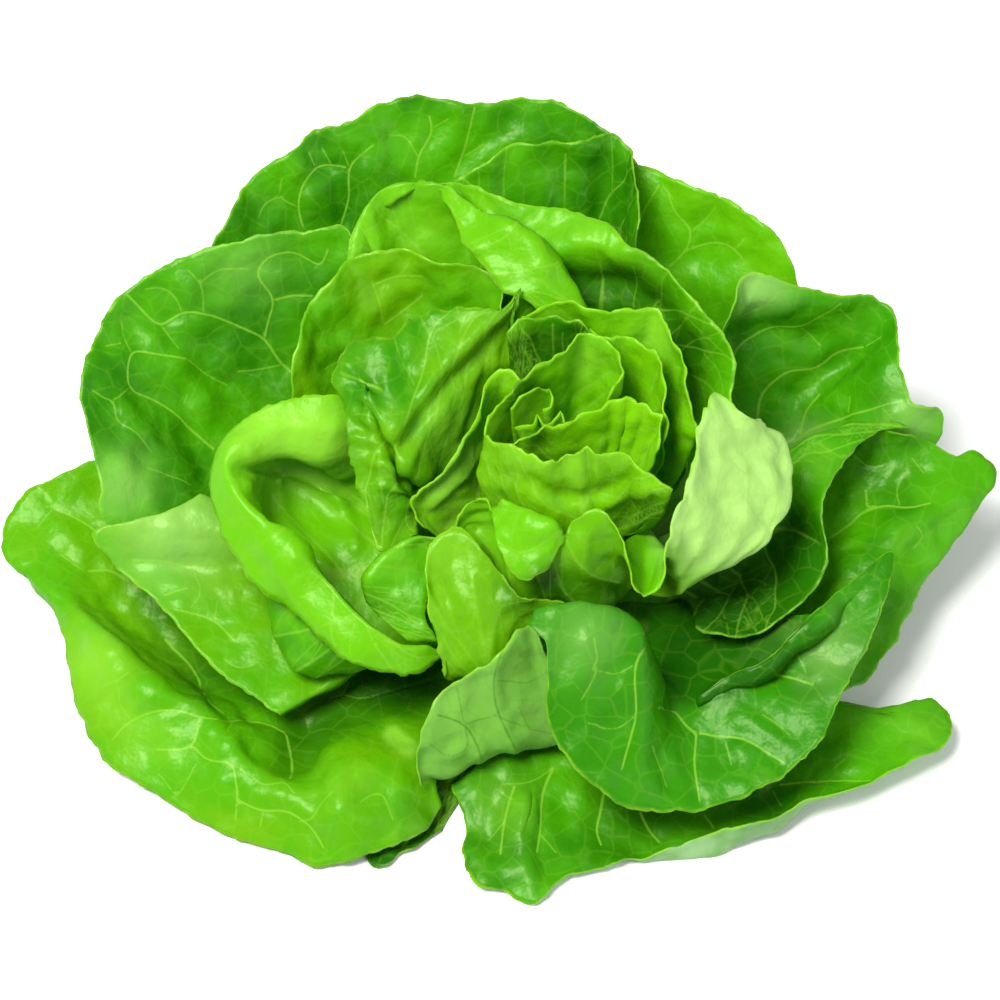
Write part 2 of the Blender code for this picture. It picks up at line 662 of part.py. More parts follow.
def separate(leaves):
    """The grids of all leaves, outermost first, each pushed clear of the ones outside it."""
    grids = []
    points = []
    faces = []
    for leaf in leaves:
        grid = leaf_grid(leaf)
        if faces:
            tree = BVHTree.FromPolygons(points, faces)
            grid = push_clear(grid, tree)
        grids.append(grid)
        start = len(points)
        rows, columns = grid.shape[:2]
        points += [tuple(p) for p in grid.reshape(-1, 3)]
        for r in range(rows - 1):
            for c in range(columns - 1):
                a = start + r * columns + c
                faces.append((a, a + 1, a + columns + 1))
                faces.append((a, a + columns + 1, a + columns))
    return grids


def surface_normals(grid):
    """Unit normals of the grid's points."""
    down = np.gradient(grid, axis=0)
    along = np.gradient(grid, axis=1)
    normal = np.cross(down, along)
    length = np.linalg.norm(normal, axis=2, keepdims=True)
    return normal / np.maximum(length, 1e-9)


def leaf_colour(name):
    """The plain colour of a leaf, by the part of the head that its name gives."""
    if name.startswith("outer_leaf"):
        return OUTER_COLOUR
    if name.startswith("heart_leaf"):
        return HEART_COLOUR
    return WRAPPER_COLOUR if "wrapper" in name or name in ("back_leaf", "right_leaf") else INNER_COLOUR


def add_object(name, mesh, colour, roughness):
    """An object with its own plain material, in the collection of the whole head."""
    material = bpy.data.materials.new(name)
    material.use_nodes = True
    skin = material.node_tree.nodes["Principled BSDF"]
    skin.inputs["Base Color"].default_value = (*colour, 1.0)
    skin.inputs["Roughness"].default_value = roughness
    skin.inputs["Metallic"].default_value = 0.0
    mesh.materials.append(material)
    thing = bpy.data.objects.new(name, mesh)
    bpy.data.collections[OBJECT_NAME].objects.link(thing)
    return thing


def add_leaf(leaf, grid):
    """A leaf: its inner face is a bent sheet, and Solidify gives it the blade and a rib toward the root."""
    rows, columns = grid.shape[:2]
    normal = surface_normals(grid)
    faces_in = leaf.root[1] < leaf.root[0]
    inner = grid + normal * (BLADE / 2 if faces_in else -BLADE / 2)
    sheet = bmesh.new()
    bmesh.ops.create_grid(sheet, x_segments=columns - 1, y_segments=rows - 1, size=1.0)
    sheet.verts.ensure_lookup_table()
    for vertex, point in zip(sheet.verts, inner.reshape(-1, 3)):
        vertex.co = Vector(point) * MM
    if faces_in:
        bmesh.ops.reverse_faces(sheet, faces=sheet.faces)
    bmesh.ops.triangulate(sheet, faces=sheet.faces, quad_method="FIXED")
    mesh = bpy.data.meshes.new(leaf.name)
    sheet.to_mesh(mesh)
    sheet.free()
    thing = add_object(leaf.name, mesh, leaf_colour(leaf.name), LEAF_ROUGHNESS)

    # Thickness of each point: the blade thins to the rim, and the rib is thickest at the root.
    up = np.linspace(0, 1, rows)[:, None]
    across = np.linspace(-1, 1, columns)[None, :]
    blade = BLADE + (RIM_BLADE - BLADE) * up
    rib = RIB_BASE * np.clip(1 - 1.25 * up, 0, 1) ** 2 * np.clip(1 - (across / 0.55) ** 2, 0, 1)
    share = ((blade + rib) / (BLADE + RIB_BASE)).reshape(-1)
    group = thing.vertex_groups.new(name="thickness")
    for index, weight in enumerate(share):
        group.add([index], float(weight), "REPLACE")
    solid = thing.modifiers.new("blade", "SOLIDIFY")
    solid.thickness = (BLADE + RIB_BASE) * MM
    solid.offset = -1.0
    solid.vertex_group = group.name
    solid.use_quality_normals = True
    return thing


def add_stem():
    """The cut stem: a turned body that is widest at the flat cut and domed on top."""
    outline = [(0.0, STEM_TOP + 1.5), (root_radius(STEM_TOP) - 3.0, STEM_TOP)]
    outline += [(root_radius(z) - ROOT_CLEAR, z) for z in (STEM_TOP - 3, 32.0, 20.0, 8.0, 0.6)]
    outline += [(root_radius(0) - ROOT_CLEAR - 0.6, 0.0), (0.0, 0.0)]
    mesh = bpy.data.meshes.new("stem")
    points = [(radius * MM, 0.0, height * MM) for radius, height in outline]
    mesh.from_pydata(points, [(i, i + 1) for i in range(len(points) - 1)], [])
    stem = add_object("stem", mesh, STEM_COLOUR, STEM_ROUGHNESS)
    turn = stem.modifiers.new("turn", "SCREW")
    turn.angle = 2 * math.pi
    turn.steps = STEM_SIDES
    turn.render_steps = STEM_SIDES
    turn.use_merge_vertices = True
    turn.merge_threshold = 0.0001
    return stem


def main():
    for thing in list(bpy.data.objects):
        bpy.data.objects.remove(thing, do_unlink=True)
    bpy.context.scene.collection.children.link(bpy.data.collections.new(OBJECT_NAME))
    add_stem()
    for leaf, grid in zip(LEAVES, separate(LEAVES)):
        add_leaf(leaf, grid)


main()
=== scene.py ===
# Butterhead lettuce, the looks: every leaf of the part is grown again as a fine thin blade, with its
# veins, the swollen tissue between them, small ruffles and a cut rim.
# Lengths below are millimetres until a mesh is written; the frame is the part's own, in metres.
import math

import bpy
import numpy as np
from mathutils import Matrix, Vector, noise
from mathutils.bvhtree import BVHTree
from mathutils.kdtree import KDTree


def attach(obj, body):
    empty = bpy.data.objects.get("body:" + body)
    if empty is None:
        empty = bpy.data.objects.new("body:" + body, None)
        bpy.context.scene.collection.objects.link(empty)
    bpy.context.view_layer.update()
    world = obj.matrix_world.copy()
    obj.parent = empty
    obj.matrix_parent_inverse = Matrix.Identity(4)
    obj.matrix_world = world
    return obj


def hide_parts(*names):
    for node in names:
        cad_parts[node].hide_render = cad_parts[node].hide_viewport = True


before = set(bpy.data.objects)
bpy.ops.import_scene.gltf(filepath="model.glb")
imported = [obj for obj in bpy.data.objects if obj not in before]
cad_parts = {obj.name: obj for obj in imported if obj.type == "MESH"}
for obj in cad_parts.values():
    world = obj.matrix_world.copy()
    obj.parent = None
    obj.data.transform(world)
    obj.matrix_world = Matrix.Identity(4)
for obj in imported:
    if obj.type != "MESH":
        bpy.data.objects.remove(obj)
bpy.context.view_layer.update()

MM = 0.001

# A leaf is drawn as it is seen from this view: a place is (across, up, height), where across and up are
# millimetres in the plane of the drawing and height is millimetres over the table.
VIEW_ELEVATION = math.radians(50)
VIEW_DISTANCE = 1000.0
PLANE_HEIGHT = 40.0
FRAME_WIDTH = 280.0
STEM_PLACE = np.array([17.0, -9.0, 0.0])
TOWARD_EYE = np.array([0.0, -math.cos(VIEW_ELEVATION), math.sin(VIEW_ELEVATION)])
DRAWN_UP = np.array([0.0, math.sin(VIEW_ELEVATION), math.cos(VIEW_ELEVATION)])

# Roots of the leaves on the stem, and how a leaf is moved clear of those outside it.
TABLE_GAP = 0.55
ROOT_RADIUS = 13.6
ROOT_TAPER = 0.17
LAMP = np.array([0.0, 0.0, 150.0])
LEAST_GAP = 1.5
LEAST_FACING = 0.4
RAYS_PER_CELL = 3
PUSH_ROUNDS = 8
SPREAD_ROUNDS = 6
MOST_PUSH = 12.0

# The fine blade: mesh steps, thickness, and the sizes of ribs and veins.
FINE_STEP = 1.3
MOST_COLUMNS = 200
FINE_BLADE = 0.8
EDGE_BLADE = 0.45
EDGE_START = 0.7
INNER_LOWEST = 0.15
OUTER_LOWEST = 0.05
RIB_SWELL = 2.0
RIB_TAPER = 1.5
RIB_HALF_WIDTH = 3.0
SIDE_VEIN_SWELL = 0.5
SIDE_VEIN_FADE = 0.7
SIDE_VEIN_HALF_WIDTH = 1.3
TINY = 1e-9

# Relief of the blade. A layer of noise is (strength, size of its lumps, seed shift). Relief fades where
# the columns of the mesh crowd closer than the room range.
VEIN_CHANNEL = 3.2
CHANNEL_EDGE = 1.6
SMALL_VEIN_RISE = 0.6
ROOM_RANGE = (0.15, 0.9)
LUMPS = ((0.9, 9, 0), (0.45, 4.2, 40))
RUFFLES = ((1.6, 17, 80), (0.8, 7, 60))
RUFFLE_RISE = 3
CUTS = ((1.0, 4.5, 20), (0.7, 2.2, 30))
CUT_REACH = 4.0
NOISE_SHIFT = (13.7, 5.1, 9.3)

# Lines on the surface: how close their points are, how near the surface must be to a drawn place, and
# the depth of the layer that the view shows there.
LINE_STEP = 0.5
LAY_REACH = 1.7
LAY_SOFTNESS = 0.6
LAYER_DEPTH = 4.0
SMOOTHING = np.full(9, 1 / 9)
FAR_FROM_LINES = 30.0
LAST_SHARE = 0.001

# Veins grown by rule, in shares of the leaf: where side veins leave the midrib, how they spread and
# wander, and where and how they fork.
PATH_STEPS = 90
DRAWN_RIB_END = 0.25
GROWN_RIB_END = 0.97
RIB_WANDER = 0.03
RIB_WAVES = 5
SIDE_VEINS = 5
FIRST_START = 0.04
START_SPAN = 0.72
START_CROWDING = 1.15
RIGHT_LAG = 0.35
START_SCATTER = 0.2
WIDEST_SPREAD = 1.3
SPREAD_FADE = 0.7
SPREAD_CURVE = 0.85
VEIN_WANDER = 0.04
WANDER_SEEDS = 9
WANDER_FADE = 0.4
SLOW_WAVES = 7
QUICK_WAVES = 17
QUICK_SIZE = 0.6
QUICK_SHIFT = 2.3
FORK_PLACES = (0.3, 0.55, 0.78)
FORK_SCATTER = 0.06
FORK_LENGTH = 0.35
FORK_LEAN = 0.5
LEAN_SCATTER = 0.2
LEAN_CURVE = 0.9
FORK_RISE = 0.15

# Colours, as linear red, green and blue.
# Painted shade: the near black green of hollows, of the leaves' low parts near the root and of the leaf
# under the head.
PAINTED_SHADE_GREEN = (0.010, 0.105, 0.001)
DARK_GREEN = (0.022, 0.190, 0.001)
DEEP_GREEN = (0.033, 0.260, 0.001)
FRESH_GREEN = (0.072, 0.375, 0.001)
SPRING_GREEN = (0.130, 0.400, 0.001)
BRIGHT_GREEN = (0.130, 0.480, 0.002)
YELLOW_GREEN = (0.200, 0.580, 0.002)
# The light and pale greens colour the lighter places: mostly painted light, in a few places the leaves' own
# paler colour.
LIGHT_GREEN = (0.290, 0.680, 0.040)
PALE_GREEN = (0.520, 0.820, 0.240)
UNDER_GREEN = (0.170, 0.420, 0.055)
LIP_GREEN = (0.420, 0.660, 0.340)
VEIN_GREEN = (0.260, 0.560, 0.040)
# Painted shade: the dark green of the front left leaf's veins, which lie in shaded grooves.
GROOVE_SHADE_GREEN = (0.050, 0.200, 0.006)
# Painted highlight: the lighter green of the rim, where its edge catches the light.
RIM_HIGHLIGHT_GREEN = (0.260, 0.570, 0.015)
STALK_CREAM = (0.340, 0.560, 0.070)
STEM_CREAM = (0.520, 0.680, 0.260)
SHEEN_GREEN = (0.80, 1.00, 0.55)
FLOOR_WHITE = (0.92, 0.92, 0.92)
WHITE = (1.0, 1.0, 1.0)

# The skin. A noise is (lumps a metre, detail). A range is where a mark begins and where it is full, and
# two more numbers are its first and last value. A share is how strongly a colour covers another.
BROAD_NOISE = (30.0, 3.0)
BROAD_RANGE = (0.35, 0.65)
MOTTLE_NOISE = (170.0, 3.0)
MOTTLE_RANGE = (0.35, 0.7)
MOTTLE_SHARE = 0.3
UNDER_MOTTLE_SHARE = 0.5
UNDER_SHARE = 0.8
# Painted light and painted shade of the drawn places: how far they reach and how strongly they cover the
# colour.
SHADE_LIGHT_AND_PALE_SPAN = 1.2
LIGHT_AND_PALE_SHARE = 0.75
PAINTED_SHADE_SHARE = 0.85
# Painted shade deep in the head, on the low parts of the leaves toward the root.
ROOT_SHADE_RANGE = (0.4, 0.08)
ROOT_SHADE_SHARE = 0.7
NET_SIZE = 0.0075
NET_BEND = 0.004
NET_WAVE = 0.6
NET_RANGE = (0.07, 0.0)
NET_SHARE = 0.11
SMALL_RANGE = (0.42, 0.08)
SMALL_SHARE = 0.6
VEIN_RANGE = (1.0, 0.3)
SIDE_WIDTH = (0.1, 1.0, 1.0, 0.45)
SIDE_SHARE = 0.85
RIB_WIDTH = (0.05, 0.9, 4.0, 0.7)
RIB_PALE_RANGE = (0.2, 0.8)
DRAWN_RIB_SHARE = 0.3
GROWN_RIB_SHARE = 0.9
DRAWN_MARKS = 0.7
# The painted highlight along the rim: how near the rim it shows, and the patches it shows in.
RIM_HIGHLIGHT_RANGE = (0.8, 0.1)
RIM_HIGHLIGHT_PATCHES = (0.0, 0.8, 0.25, 0.7)
CLEAR_OF_LINES = 0.8 * FINE_STEP
BLISTER_NOISE = (260.0, 2.0)
BLISTER_STRENGTH = 0.35
BLISTER_DEPTH = 0.0012
LEAF_ROUGHNESS = 0.34
LEAF_SPECULAR = 0.3
THROUGH_SHARE = 0.35
GRAIN_NOISE = (120.0, 4.0)
GRAIN_DARK = 0.8
STEM_ROUGHNESS = 0.5
STEM_GRAIN = 0.6
FLOOR_ROUGHNESS = 0.9

# Where a mix node of colours has its factor and two colours, and its result.
MIX_INPUTS = (0, 6, 7)
MIX_RESULT = 2

# The studio, in metres and watts. A light is (name, place, size, power, colour).
FLOOR_SIZE = 20.0
WORLD_STRENGTH = 0.42
LIGHTS = (
    ("key", (-0.45, -0.32, 1.15), 0.55, 26.5, (1.0, 0.99, 0.96)),
    ("fill", (0.9, -0.6, 0.7), 0.9, 5.0, (0.97, 0.99, 1.0)),
)
LIT_POINT = Vector((0, 0, 0.04))
SENSOR_WIDTH = 36.0
CLIP_START = 0.05

# Veins as the view shows them: places (across, up) in the drawing. Each leaf has its main veins first,
# then its fainter ones.
VEINS = {
    "outer_leaf_back_left": ((
        ((-13, 90), (-10, 98), (-7, 111)), ((-45, 76), (-42, 86), (-42, 93), (-35, 100)),
        ((-42, 93), (-47, 94), (-52, 93), (-55, 89), (-56.5, 82), (-55, 76)),
        ((-24, 90), (-23, 96), (-19, 104), (-20, 108)),
    ), (
        ((-52, 93), (-54, 98)), ((-47, 94), (-50, 99)), ((-42, 93), (-44, 99)),
        ((-56.5, 82), (-61.5, 85), (-61, 91)), ((-61.5, 85), (-66, 83), (-68, 78)),
        ((-23, 96), (-27, 102), (-31, 102)), ((-19, 104), (-14, 107)), ((-10, 96), (-4, 100)),
        ((-36, 79), (-34, 72), (-28, 74)),
    )),
    "outer_leaf_back_right": ((
        ((37, 74), (41, 82), (45, 89)), ((47, 65), (52, 70), (53.5, 75), (49, 81), (47, 87)),
        ((52, 70), (62, 72), (66, 70), (68, 67)),
    ), (
        ((53.5, 75), (58, 79), (61, 83)), ((66, 70), (69, 74)), ((45, 89), (49, 84)),
    )),
    "outer_leaf_left": ((
        ((-57, 35), (-61, 38), (-66, 45), (-74, 49), (-80, 51.5), (-89, 52.5), (-95, 49), (-101, 54),
        (-105, 58)),
        ((-66, 45), (-65, 50), (-63.5, 56), (-68, 64), (-65, 68), (-58, 69.5), (-50, 66), (-48, 71)),
        ((-80, 14), (-88, 21), (-97, 28), (-104, 31.5), (-104.5, 38), (-103.5, 41), (-96, 40.5),
        (-88, 39.5)),
        ((-63.5, 56), (-58, 57.5), (-52, 57.5)),
    ), (
        ((-95, 49), (-90, 42)), ((-89, 52.5), (-91, 57), (-95, 59.5), (-100, 59)),
        ((-61, 38), (-68, 36.5), (-74, 36)), ((-83, 52), (-84, 61), (-88, 65)),
        ((-84, 61), (-80, 64), (-70, 65)), ((-104, 31.5), (-109, 27.5), (-115, 31)),
        ((-103.5, 41), (-105.5, 46), (-106, 51)), ((-105.5, 44), (-111, 43)),
        ((-109, 27.5), (-108, 22), (-103, 18), (-98, 12)), ((-88, 39.5), (-82, 35), (-76, 32)),
        ((-88, 30), (-89, 26)), ((-100, 9), (-92, 6), (-86, 3.5)),
    )),
    "outer_leaf_lower_left": ((
        ((-104, -17), (-95, -17), (-86, -19)), ((-95, -27), (-87, -25)),
        ((-92, -31), (-80, -34), (-74, -40)),
    ), (
        ((-86, -19), (-84, -27), (-87, -31)), ((-80, -34), (-79, -28)),
        ((-78, -44), (-74, -47), (-68, -46)),
    )),
    "outer_leaf_front_left": ((
        ((-94, -39), (-86, -48), (-80, -57), (-77, -60)),
        ((-79, -62), (-84, -61), (-90, -59), (-99, -60), (-103, -62), (-109, -68)),
        ((-84, -61), (-86, -68.5), (-98, -70)),
        ((-86, -68.5), (-81, -73), (-75, -74), (-73.5, -80), (-74, -90)),
        ((-73.5, -84), (-66, -87), (-60, -87), (-53.5, -91), (-49, -98)),
        ((-60, -66), (-58, -73), (-59, -79)), ((-125, -2.5), (-119, -5), (-113, -9)),
        ((-116, -20), (-109, -20), (-104, -23)), ((-78, -62), (-67, -63), (-60, -66)),
    ), (
        ((-103, -62), (-106, -57), (-106, -51), (-112, -53)), ((-106, -51), (-101, -47.5)),
        ((-84.5, -73), (-90, -83)), ((-75, -74), (-70, -77), (-66, -80), (-60, -80), (-57, -83)),
        ((-57, -90), (-52, -89), (-50, -85), (-46, -82)), ((-77, -66), (-75, -62)),
        ((-40, -85), (-34, -82), (-30, -90)), ((-125, -2.5), (-127, 2), (-130, 4)),
        ((-125, -2.5), (-130, -8)), ((-109, -20), (-108, -16)), ((-124, -15), (-117, -20)),
        ((-48, -56), (-44, -55), (-40, -56), (-36, -55)), ((-44, -55), (-42, -51)),
        ((-66, -87), (-67, -92)), ((-90, -83), (-96, -76)),
    )),
    "outer_leaf_right_back": ((
        ((82, 16), (86, 19), (92, 21), (100, 24), (113, 28)), ((84, 18), (86, 25), (90, 30)),
        ((72, 23), (73, 29), (76, 33), (80, 36), (89, 37), (94, 41), (102, 43)),
        ((64, 38), (67, 43), (72, 46), (77, 48), (84, 48.5), (90, 53), (95, 57)),
    ), (
        ((84, 48.5), (90, 43)), ((62, 48), (67, 52), (74, 55), (78, 60)), ((98, 24), (99, 29)),
        ((94, 55), (99, 50)), ((102, 43), (107, 46)), ((107, 26), (111, 22)),
    )),
    "outer_leaf_right": ((
        ((92, -11), (98, -7), (103, -3), (110, -2), (115, -2.5), (121, -1)), ((103, -3), (102.5, 3)),
    ), (
        ((112, -2), (111, 3), (113, 7)), ((99, 13), (104, 9), (108, 10)), ((115, 12), (119, 7)),
        ((115, -14), (118, -10), (116, -7)),
    )),
    "front_leaf": ((
        ((41, -39), (38, -46), (38, -60), (36, -68), (34, -76)),
        ((43, -58), (48, -59), (53, -64.5), (60, -66), (68, -67), (75, -71), (80, -74)),
        ((55, -65), (54.5, -75), (56, -85)), ((68, -49), (75, -49), (82, -50), (88, -52)),
    ), (
        ((38, -46), (31, -49), (26, -46)), ((38, -60), (33, -64), (24, -62)), ((63, -67), (65, -75)),
        ((73, -60), (79, -64), (82, -67)), ((79, -39), (83, -43), (86, -49)),
        ((42, -68), (45, -75), (47, -81)), ((26, -38), (27, -46), (22, -57)),
    )),
    "front_left_leaf": ((
        ((0, -40), (-2, -50), (-1, -58), (2, -65), (5, -70)),
        ((-18, -60), (-10, -63), (-6, -70), (-5, -75)),
    ), (
        ((-2, -60), (8, -64), (15, -66)), ((-2, -50), (8, -51), (14, -48)),
        ((-10, -63), (-9, -69), (-14, -72)), ((-10, -63), (-2, -61)), ((-20, -68), (-15, -72)),
        ((-12, -52), (-10, -63)), ((5, -57), (8, -64)),
    )),
    "outer_leaf_front": ((
        ((29, -82), (27.5, -90), (27, -92), (28.5, -97)), ((39, -87), (42, -93), (46.5, -97.5)),
        ((57, -88), (60, -92)), ((78, -80), (90, -79), (104, -78)),
        ((15, -75), (12, -82), (11, -94), (10, -100)), ((4, -80), (1, -92), (0, -100)),
    ), (
        ((76, -81), (79, -86)), ((93, -76), (97, -73)), ((2, -90), (-4, -95)), ((-1, -81), (4, -85)),
        ((15, -75), (9, -79), (0, -80)), ((11, -94), (16, -99)),
    )),
    "left_wrapper": ((
        ((-33, 49), (-27, 53), (-21, 58)), ((-36, 60), (-28, 63), (-21, 63)),
    ), (
        ((-36, 62), (-34, 55), (-33, 49)), ((-28, 63), (-25, 67)), ((-50, 36), (-44, 40)),
    )),
}

# Folds and hollows of the leaves: height toward the inner face, half width and the drawn line.
FOLDS = {
    "left_cup_leaf": (
        (2.4, 2.8, ((-72, 3), (-69, 6.5), (-65, 5), (-62, 8), (-57, 8), (-51, 5), (-44, -1))),
        (4.0, 5.0, ((-72, 13), (-62, 16), (-52, 14), (-44, 9))),
        (1.8, 2.6, ((-63, 5), (-61, -4), (-55, -13), (-48, -20))),
        (-1.6, 2.2, ((-66, 3), (-64, -6), (-58, -16))), (1.6, 2.2, ((-49, 2), (-43, -5), (-40, -14))),
        (4.0, 6.0, ((-62, -12), (-57, -22), (-52, -31), (-45, -37), (-40, -42))),
    ),
    "left_inner_leaf": (
        (1.8, 1.8, ((-38, 33), (-36, 24), (-34, 14), (-30, 3), (-26, -2))),
        (-1.6, 1.6, ((-34.5, 32), (-33, 24), (-31, 14), (-28, 6))),
        (2.2, 2.4, ((3, 55), (-8, 45), (-20, 32), (-30, 18))),
        (-2.4, 2.4, ((-5, 42), (-16, 30), (-27, 15))), (1.2, 1.6, ((-12, 33), (-20, 22), (-27, 8))),
        (1.4, 1.4, ((-42, 31), (-36, 28))), (1.4, 1.4, ((-41, 25), (-35, 21))),
        (1.4, 1.4, ((-39, 18), (-33, 15))), (1.4, 1.4, ((-37, 11), (-31, 8))),
        (1.4, 1.4, ((-34, 4), (-28, 2))),
    ),
    "back_wrapper": (
        (4.2, 5.5, ((9, 67), (18, 71), (28, 73), (37, 69))),
        (-2.4, 4.0, ((8, 59), (20, 61), (34, 60), (46, 52), (54, 42))),
        (1.6, 2.6, ((2, 64), (0, 72), (-4, 80))),
    ),
    "outer_leaf_right_back": (
        (2.8, 6.0, ((64, 53), (72, 58), (82, 57), (96, 56))), (-2.6, 4.5, ((64, 46), (74, 47), (86, 45))),
        (-2.2, 4.0, ((82, 29), (90, 35), (99, 39))), (2.0, 5.0, ((88, 25), (98, 31), (108, 35))),
    ),
    "outer_leaf_left": (
        (2.2, 5.0, ((-107, 25), (-100, 17), (-94, 11))), (-2.0, 4.0, ((-88, 17), (-83, 8), (-81, 2))),
        (-1.6, 4.5, ((-82, 34), (-74, 29), (-68, 26))), (2.0, 5.0, ((-98, 43), (-90, 36), (-82, 28))),
    ),
    "outer_leaf_front_left": (
        (2.4, 6.0, ((-44, -72), (-47, -82), (-40, -92))), (-2.4, 4.0, ((-54, -64), (-53, -74), (-51, -83))),
        (-2.0, 4.5, ((-70, -70), (-62, -75), (-57, -72))),
        (1.8, 5.0, ((-112, -42), (-106, -48), (-98, -55))),
    ),
    "front_right_wavy_leaf": (
        (1.2, 2.4, ((58, 12), (66, 14), (74, 14.5), (79, 9))), (-1.0, 1.8, ((64, 8), (71, 11), (77, 6))),
        (1.0, 2.2, ((60, -1), (67, 0), (73, -3), (76, -7))),
    ),
    "heart_leaf_front": (
        (1.6, 2.4, ((8, 5), (14, 1), (22, 0), (30, 3))), (-1.6, 2.4, ((30, 0), (36, 2), (44, 4))),
    ),
    "pale_rib_leaf": (
        (1.2, 1.4, ((-24, 2), (-14, 12), (-7, 24))), (1.0, 1.2, ((-20, -2), (-9, 9), (-3, 20))),
        (-1.0, 1.2, ((-22, 0), (-12, 10), (-5, 22))),
    ),
    "front_leaf": (
        (3.0, 3.5, ((60, -56), (70, -50), (80, -42), (92, -32))),
        (1.8, 5.0, ((24, -40), (22, -52), (26, -66))),
    ),
    "outer_leaf_front": (
        (1.6, 4.0, ((6, -84), (6, -96), (9, -106))), (-1.4, 3.5, ((-3, -86), (-2, -98))),
        (-1.2, 4.0, ((17, -84), (20, -94))),
    ),
}

# Lighter (above 0) and darker (below 0) places of the leaves: strength, radius and drawn place. The darker
# places are painted shade in hollows, folds and under other leaves. Most lighter places are painted light
# on lit bulges, folds and rims. A few, such as the pale under side of the front right wavy leaf and the
# spots of pale midrib on the front left outer leaf, are the leaves' own paler colour.
SHADE_LIGHT_AND_PALE_PLACES = {
    "back_wrapper": (
        (0.5, 12, (22, 73)), (-2.0, 12, (14, 56)), (-2.0, 12, (34, 55)), (-1.1, 10, (52, 42)),
        (0.35, 9, (0, 84)),
    ),
    "back_left_wrapper": ((0.4, 9, (-22, 74)),),
    "left_cup_leaf": (
        (1.0, 14, (-64, 16)), (0.9, 12, (-48, 14)), (-0.5, 9, (-45, -18)),
    ),
    "outer_leaf_lower_left": ((0.6, 20, (-92, -8)), (-0.3, 12, (-72, -50))),
    "outer_leaf_left": (
        (0.3, 16, (-72, 66)), (0.5, 12, (-106, 4)), (-0.3, 14, (-72, 30)),
    ),
    "outer_leaf_front_left": (
        (0.5, 14, (-108, -48)), (0.5, 12, (-112, -40)), (0.5, 14, (-46, -74)), (0.5, 14, (-95, -66)),
        (-0.8, 14, (-98, -36)), (-0.8, 12, (-84, -52)), (-0.9, 11, (-58, -70)), (-1.2, 16, (-30, -50)),
        (1.8, 3.2, (-30, -66.5)), (1.8, 3.0, (-26, -70)), (-0.9, 10, (-48, -62)), (-0.6, 9, (-24, -88)),
    ),
    "front_leaf": (
        (0.35, 14, (24, -38)), (0.45, 14, (90, -42)), (-2.0, 10, (53, -47)), (-1.6, 8, (64, -48)),
        (-1.4, 7, (75, -41)), (-1.0, 5, (84, -35)),
    ),
    "front_left_leaf": ((0.3, 12, (-8, -62)),),
    "front_curled_leaf": ((0.4, 9, (-14, -14)), (-0.9, 9, (6, -26))),
    "front_left_curl_leaf": ((0.4, 8, (-30, -18)), (-0.8, 8, (-36, -30))),
    "outer_leaf_front": (
        (0.5, 14, (2, -86)), (-0.8, 16, (34, -90)), (-0.8, 18, (70, -84)), (0.4, 12, (118, -66)),
    ),
    "outer_leaf_right_back": (
        (0.8, 12, (72, 58)), (-0.6, 12, (75, 45)), (-0.3, 10, (90, 38)), (0.5, 10, (86, 16)),
        (0.5, 10, (116, 24)),
    ),
    "outer_leaf_right": (
        (-0.6, 16, (108, 4)), (0.6, 12, (92, 10)), (0.3, 12, (126, -10)),
    ),
    "right_leaf": (
        (0.8, 12, (86, 6)), (-2.2, 20, (72, -12)), (-1.3, 14, (64, -32)),
    ),
    "left_inner_leaf": (
        (0.6, 12, (-14, 20)), (-0.6, 9, (-34, 34)), (0.3, 9, (-28, 40)), (0.3, 10, (-8, 50)),
    ),
    "right_inner_leaf": ((0.8, 10, (44, 44)), (-0.8, 9, (58, 34))),
    "pale_rib_leaf": ((0.45, 7, (-18, 6)), (0.35, 7, (-11, 15))),
    "heart_leaf_far": ((-1.8, 10, (8, 38)), (-1.0, 9, (22, 46))),
    "heart_leaf_back": ((-1.2, 7, (7, 31)), (0.7, 8, (23, 40))),
    "heart_leaf_middle": ((-0.8, 7, (10, 17)),),
    "heart_leaf_front": (
        (0.5, 12, (18, 8)), (0.3, 9, (36, 6)), (-1.0, 10, (42, -4)), (-0.7, 10, (8, -8)),
    ),
    "outer_leaf_under": ((-1.5, 30, (-30, -98)),),
    "front_right_wavy_leaf": (
        (2.6, 22, (67, 4)), (-0.5, 9, (32, -12)), (-1.2, 9, (14, -25)), (-1.2, 9, (32, -28)),
    ),
}


class Leaf:
    """A leaf from an arc on the stem, by its belly and any drawn rings, to its drawn rim.

    The root is the arc's first and last angle in degrees, and the foot its height. The belly is a share
    of the way to the first ring, a lift and a bulge. Rows are the mesh rows between the rings, and steps
    the mesh columns between two drawn places.
    """

    def __init__(self, name, root, foot, rim, rings=(), belly=(0.5, 0, 0), rows=(2, 3), steps=1):
        self.name = name
        self.root = root
        self.foot = foot
        self.rim = rim
        self.rings = rings
        self.belly = belly
        self.rows = rows
        self.steps = steps


